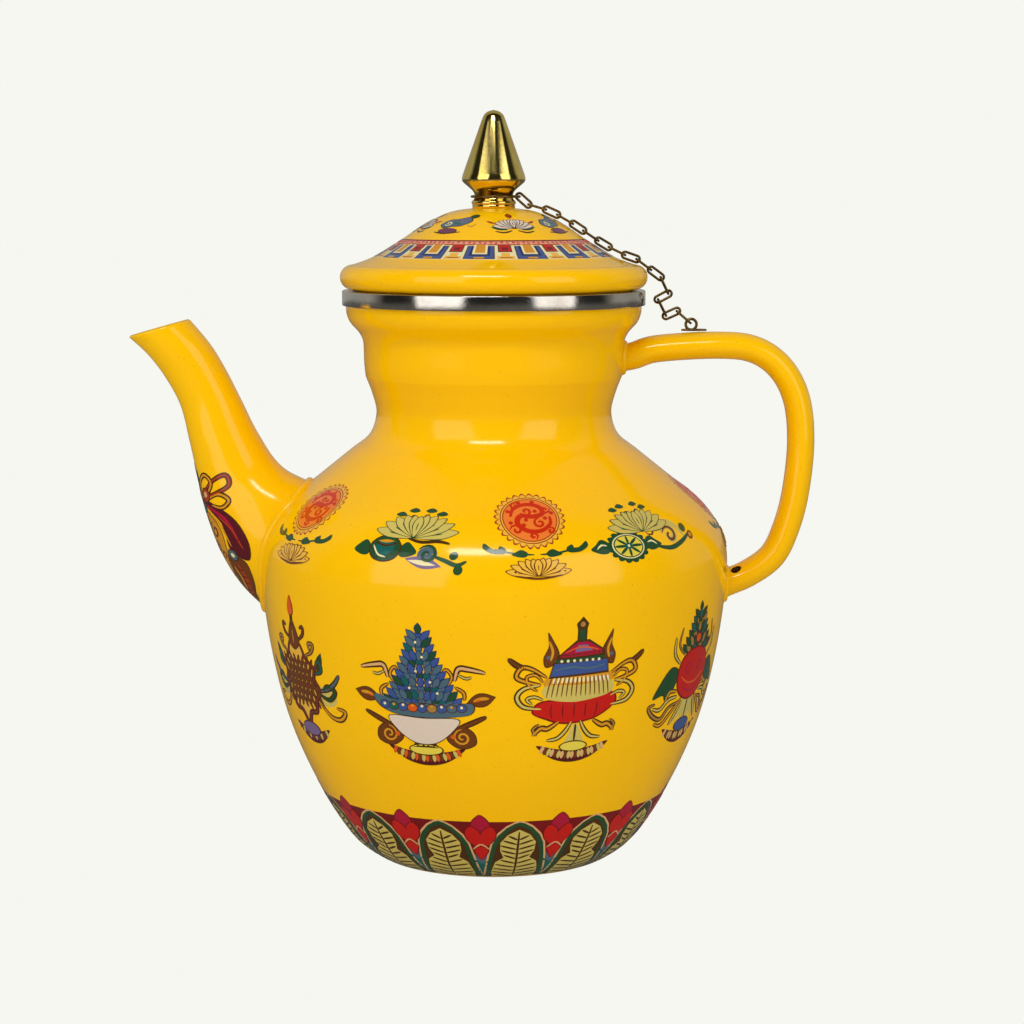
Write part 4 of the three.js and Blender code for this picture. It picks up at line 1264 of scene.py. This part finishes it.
def cloudEmblem():
    shapes = outlinedLoop("slate", 1, [(-5.4, -0.6), (-3, 2.4), (0, 2.8), (3.4, 4.6), (5.6, 1.6), (3, -1.4),
                                       (0, -1.8), (-3, -2.8)])
    shapes += [stroke("lilac", 3, spiral(3, 2, 1.9, 1.2, 30), 0.7),
               stroke("cream", 3, spiral(-2.4, 0, 1.7, 1.2, 200), 0.6),
               stroke("teal", 3, [(-0.6, 0.8), (1, 0), (2.8, -0.4)], 0.8)]
    shapes += outlined("darkGreen", 3, disc(5, 5.2, 1.3, count=12), 0.3)
    shapes += outlined("plum", 1, disc(-0.6, -4.6, 3.6, 0.36))
    return shapes + [stroke("umber", 2, [(-6, -5.4), (-1, -6.2), (5, -5.2)], 0.7),
                     stroke("amber", 2, [(5.4, -1), (7.6, -2), (8, 0)], 0.7)]


def lotusEmblem():
    shapes = moved(lotusBloom("porcelain", "umber", 14, 7.4), up=-3)
    shapes += mirrored([fill("darkGreen", 1, leaf(2.4, -4, 8, -2.4, 2)),
                        stroke("umber", 1, [(1, -4.4), (4, -5.6), (7, -4.8)], 0.8),
                        fill("brick", 1, leaf(6, 0, 8.6, 1.8, 1.3))])
    return shapes + outlined("brick", 1, leaf(0, 4, 0, 7.4, 1.8), 0.3)


# figure on the outside of the spout
spoutFigureArc = 36


def spoutFigure():
    side = outlinedLoop("maroon", 1, [(4, 15), (13, 13), (21, 7), (24, -1), (21, -7), (15, -3), (15.4, 5),
                                      (11, 10)], 0.5)
    side += [stroke("crimson", 3, [(8, 13), (17, 8), (20.6, 0)], 1.3),
             stroke("brick", 3, [(14, 9), (19, 4), (21.4, -3)], 0.8),
             stroke("amber", 3, [(8, 11), (14, 5.6), (16.4, -2)], 0.9)]
    side += outlinedLoop("brown", 1, [(11, -6), (19, -8), (17, -15), (11, -22), (6, -28), (6.4, -18)], 0.5)
    side += [stroke("brick", 3, [(15, -9), (14, -15), (9.4, -22)], 1.4),
             stroke("amber", 4, [(12, -10), (11.4, -15), (8.4, -20)], 0.7)]
    side += [stroke("darkRed", 4, [(x, y), (x + 2.6, y - 0.6)], 0.6)
             for x, y in [(13, -11), (12.6, -14), (10.8, -17), (9, -20), (7.6, -23)]]
    side += outlinedLoop("amber", 1, [(3, 10), (10, 8), (13.4, 2), (10.4, -8), (4, -14)])
    side += [stroke("brown", 3, spiral(x, y, size, 1.3, start), 0.9)
             for x, y, size, start in [(9, 3.6, 3.2, 90), (6, -2, 2.6, 200), (9, -6, 2.4, 270),
                                       (5, 7, 2.2, 30)]]
    side += outlined("slate", 4, disc(15, -5.4, 2)) + outlined("teal", 4, disc(5.4, 12, 1.8))
    side += [fill("cream", 6, disc(15, -5.4, 0.9, count=10)), fill("lilac", 6, disc(5.4, 12, 0.9, count=10))]
    side += ribbons(2, ("amber", [(5, 16), (6, 21), (10, 24), (13, 21), (10, 17), (6, 17)], 1.9),
                    ("brick", [(9, 18), (14, 22), (19, 24), (20, 20), (14, 17), (9, 16.4)], 1.9),
                    ("amber", [(10, 15), (16, 17), (20, 14.6), (17, 12), (12, 13)], 1.9))
    side += outlined("brick", 4, disc(9, 16.6, 2.4))
    side += [fill("blush", 6, disc(9, 16.8, 1.1, count=12)),
             fill("darkGreen", 1, leaf(2.6, 12, 4.6, 26, 4))]
    middle = [fillLoop("darkGreen", 5, [(0, 28), (2.6, 20), (3, 8), (3.2, -8), (1.6, -22), (0, -30),
                                        (-1.6, -22), (-3.2, -8), (-3, 8), (-2.6, 20)]),
              stroke("straw", 6, [(0, 24), (0, 0), (0, -24)], 1.2)]
    middle += outlined("blush", 7, disc(0, 17, 2, count=14))
    middle += outlined("orange", 7, disc(0, -4, 2.2, count=14))
    return mirrored(side) + middle


def onSpout(arc):
    # y runs along the outer line, x round the tube from that line towards the front
    line = catmullRom(spoutStations, spout["steps"])
    arcs = arcTable([(x0, z0) for x0, z0, *_ in line])[1]

    def at(x, y, lift):
        where = arc + y
        i = min(max(bisect.bisect(arcs, where) - 1, 0), len(line) - 2)
        share = (where - arcs[i]) / (arcs[i + 1] - arcs[i])
        x0, z0, x1, z1, depth = (a + (b - a) * share for a, b in zip(line[i], line[i + 1]))
        start, end = Vector((x0, 0, z0)), Vector((x1, 0, z1))
        half = (end - start).length / 2
        across = (end - start).normalized()
        turn = math.pi + x / ((half + depth) / 2)
        out = Vector((across.x * math.cos(turn) * depth, math.sin(turn) * half,
                      across.z * math.cos(turn) * depth)).normalized()
        base = (start + end) / 2 + across * (half * math.cos(turn)) + Vector((0, depth * math.sin(turn), 0))
        return tuple(base + out * lift)
    return at


def paintAll():
    count = footBorder["count"]
    paint("footBorder", footUnit(),
          onTurned(bodyTable, footBorder["angle"], footBorder["arc"], fan=True), "kettle", count,
          360 / count)
    for angle, sign in belly["signs"]:
        paint(sign.__name__, sign(), onTurned(bodyTable, angle, belly["arc"]), "kettle")
    print("belly painted")
    frieze = shoulderFrieze
    for runs, kind, arc, aside in [("roundels", roundel, "arc", 0),
                                   ("roundels", spray, "sprayArc", frieze["sprayAside"]),
                                   ("wheels", wheelGroup, "wheelArc", 0),
                                   ("jewels", jewelGroup, "wheelArc", 0)]:
        for run, (angle, number, step) in enumerate(frieze[runs]):
            paint(f"{kind.__name__}{run + 1}", kind(),
                  onTurned(bodyTable, angle + aside, frieze[arc]), "kettle", number, step)
    print("shoulder painted")
    top = lidOrnament
    keys, emblems = top["keys"], top["emblems"]
    paint("keyBorder", keyUnit(),
          onTurned(domeTable, top["keyAngle"], top["keyArc"], fan=True), "lid", keys, 360 / keys)
    for emblem, angle in [(cloudEmblem, top["cloudAngle"]), (lotusEmblem, top["lotusAngle"])]:
        paint(emblem.__name__, emblem(),
              onTurned(domeTable, angle, top["emblemArc"]), "lid", emblems, 360 / emblems)
    paint("spoutFigure", spoutFigure(), onSpout(spoutFigureArc), "kettle")
    print("lid and spout painted")


paintAll()

chain = dict(length=7.4, width=3.2, wire=0.9, onLid=10, hanging=6, ringWire=1, eyeReach=69.5, eyeRadius=1.9,
             eyeWire=0.5)


def makeLinkTree():
    # one link, an oval of round wire, on every point of the given mesh, turned by the point's own angles
    tree, given = newTree("chainLinks", Length="Float", Width="Float", Wire="Float", Material="Material")
    long, wide = given["Length"] - given["Wire"], given["Width"] - given["Wire"]
    centreLine = addNode(tree, "GeometryNodeCurvePrimitiveQuadrilateral", {}, {0: long, 1: wide})
    bend = addNode(tree, "GeometryNodeFilletCurve", {"mode": "POLY"},
                   {"Curve": centreLine, "Count": 10, "Radius": wide * 0.4999})
    wire = addNode(tree, "GeometryNodeCurvePrimitiveCircle", {},
                   {"Resolution": 12, "Radius": given["Wire"] * 0.5})
    link = addNode(tree, "GeometryNodeCurveToMesh", {}, {"Curve": bend, "Profile Curve": wire})
    smooth = addNode(tree, "GeometryNodeSetShadeSmooth", {}, {"Geometry": link})
    angles = addNode(tree, "GeometryNodeInputNamedAttribute", {"data_type": "FLOAT_VECTOR"},
                     {"Name": "turned"})
    rotation = addNode(tree, "FunctionNodeEulerToRotation", {}, {"Euler": angles})
    return endWithCopies(tree, given["Geometry"], smooth, rotation, given["Material"])


def linkPose(number):
    # the middle and tilt of a link, from the spread of its solid's corners in the plane of the chain
    corners = [vertex.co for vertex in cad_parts[f"chain_link_{number:02d}"].data.vertices]
    middle = sum(corners, Vector()) / len(corners)
    xx = sum((c.x - middle.x) ** 2 for c in corners)
    zz = sum((c.z - middle.z) ** 2 for c in corners)
    xz = sum((c.x - middle.x) * (c.z - middle.z) for c in corners)
    tilt = 0.5 * math.atan2(2 * xz, xx - zz)
    roll = Matrix.Rotation(math.pi / 2 if number % 2 else 0, 4, "X")
    return middle, (Matrix.Rotation(-tilt, 4, "Y") @ roll).to_euler()


def makeLinks(name, carrier, numbers):
    poses = [linkPose(number) for number in numbers]
    mesh = bpy.data.meshes.new(name)
    mesh.from_pydata([middle for middle, _ in poses], [], [])
    angles = mesh.attributes.new("turned", "FLOAT_VECTOR", "POINT")
    for item, (_, euler) in zip(angles.data, poses):
        item.vector = tuple(euler)
    piece = addPiece(name, mesh)
    bake(piece, linkTree, {"Length": chain["length"] * mm, "Width": chain["width"] * mm,
                           "Wire": chain["wire"] * mm, "Material": brass})
    place(piece, carrier, "brass", *[f"chain_link_{number:02d}" for number in numbers])


def makeRing():
    low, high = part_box("chain_ring")
    middle, reach = (low + high) / 2, (high.x - low.x) / 2 / mm - chain["ringWire"] / 2
    line = [(reach + x, y) for x, y in disc(0, 0, chain["ringWire"] / 2, count=14)]
    ring = revolve("chainRing", line, 72, brass, closed=True)
    ring.data.transform(Matrix.Translation(middle))
    place(ring, "lid", "brass", "chain_ring")


def makeEye():
    low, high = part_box("chain_eye")
    radius, wire = chain["eyeRadius"], chain["eyeWire"]
    line = [(radius + x, y) for x, y in disc(0, 0, wire, count=14)]
    loop = revolve("eyeLoop", line, 48, brass, closed=True)
    middle = Vector((chain["eyeReach"] * mm, 0, high.z - (radius + wire) * mm))
    loop.data.transform(Matrix.Translation(middle) @ Matrix.Rotation(math.pi / 2, 4, "X"))
    place(loop, "kettle", "brass", "chain_eye")
    foot = revolve("eyeFoot", roundCorners([(0, 0), (1, 0), (1, 0.7), (0.8, 0.8), (0, 0.8)], 0.2), 48, brass)
    stretch = Matrix.Diagonal((4.5, 1.5, 1, 1))
    foot.data.transform(Matrix.Translation(((low + high).x / 2, 0, low.z)) @ stretch)
    place(foot, "kettle", "brass")


linkTree = makeLinkTree()
makeRing()
makeEye()
makeLinks("lidChain", "lid", range(1, chain["onLid"] + 1))
for hanging in range(1, chain["hanging"] + 1):
    makeLinks(f"hangingLink{hanging}", f"hanging_link_{hanging}", [chain["onLid"] + hanging])
print("chain made")

# set: floor, light, camera
stage = dict(backdrop=(246, 247, 240), floorReach=3, floorLevel=-0.0002, aim=(0, 0, 0.12), world=0.42,
             roomGloss=0.02, floorGloss=0.12, backGloss=0.36,
             lamps=[("topLight", (-0.1, -0.7, 1.04), 0.5, 0.17, 4),
                    ("leftLight", (-0.62, -0.74, 0.46), 0.7, 0.85, 2.9),
                    ("rightLight", (0.7, -0.68, 0.46), 0.6, 0.85, 2.5)])


def makeStage():
    scene = bpy.context.scene
    scene.view_settings.view_transform = "Standard"
    # the camera sees the floor as plain as the backdrop, shiny pieces see it dark, and it lights the rest
    floorMaterial, tree, shader, place = newMaterial("paleFloor")
    feed(tree, shader, baseColor=rgb(*stage["backdrop"]), roughness=0.95)
    path = tree.nodes.new("ShaderNodeLightPath")
    toCamera = Wire(tree, path.outputs["Is Camera Ray"])
    toGloss = Wire(tree, path.outputs["Is Glossy Ray"])
    plain = addNode(tree, "ShaderNodeEmission", {},
                    {"Color": rgb(*stage["backdrop"]),
                     "Strength": toCamera + toGloss * stage["floorGloss"]})
    mixed = addNode(tree, "ShaderNodeMixShader", {},
                    {0: toCamera + toGloss, 1: Wire(tree, shader.outputs[0]), 2: plain})
    tree.links.new(mixed.socket, tree.nodes["Material Output"].inputs["Surface"])
    mesh = bpy.data.meshes.new("floor")
    size = stage["floorReach"]
    mesh.from_pydata([(-size, -size, 0), (size, -size, 0), (size, size, 0), (-size, size, 0)],
                     [], [(0, 1, 2, 3)])
    mesh.materials.append(floorMaterial)
    floor = addPiece("floor", mesh)
    floor.location.z = stage["floorLevel"]
    world = bpy.data.worlds.new("studio")
    scene.world = world
    world.use_nodes = True
    sky = world.node_tree
    skyPath = sky.nodes.new("ShaderNodeLightPath")
    seen, glossy = (Wire(sky, skyPath.outputs[name]) for name in ("Is Camera Ray", "Is Glossy Ray"))
    # shiny pieces see a dark room in front and the pale backdrop behind
    facing = addNode(sky, "ShaderNodeTexCoord", {}, {})
    behind = addNode(sky, "ShaderNodeSeparateXYZ", {}, {"Vector": facing}, output=1)
    shine = rampOf(sky, behind, [(0.0, grey(stage["roomGloss"])), (0.25, grey(stage["backGloss"]))])
    strength = seen * (1 - stage["world"]) + glossy * (shine - stage["world"]) + stage["world"]
    sky.nodes["Background"].inputs["Color"].default_value = rgb(*stage["backdrop"])
    sky.links.new(strength.socket, sky.nodes["Background"].inputs["Strength"])
    for name, where, width, height, energy in stage["lamps"]:
        lamp = bpy.data.lights.new(name, "AREA")
        lamp.shape = "RECTANGLE"
        lamp.size = width
        lamp.size_y = height
        lamp.energy = energy
        holder = addPiece(name, lamp)
        holder.location = where
        holder.rotation_euler = (Vector(stage["aim"]) - Vector(where)).to_track_quat("-Z", "Y").to_euler()


makeStage()

# focal is in pixels of the photograph, and picture is the photograph's width in pixels
camera = dict(distance=0.882, height=0.2344, pitch=7.27, aside=0.0064, focal=2500, picture=1024, sensor=36)


def makeCamera():
    lens = bpy.data.cameras.new("camera")
    lens.sensor_width = camera["sensor"]
    lens.lens = camera["focal"] / camera["picture"] * camera["sensor"]
    holder = addPiece("camera", lens)
    holder.location = (camera["aside"], -camera["distance"], camera["height"])
    holder.rotation_euler = (math.radians(90 - camera["pitch"]), 0, 0)
    bpy.context.scene.camera = holder


makeCamera()
print("stage made")
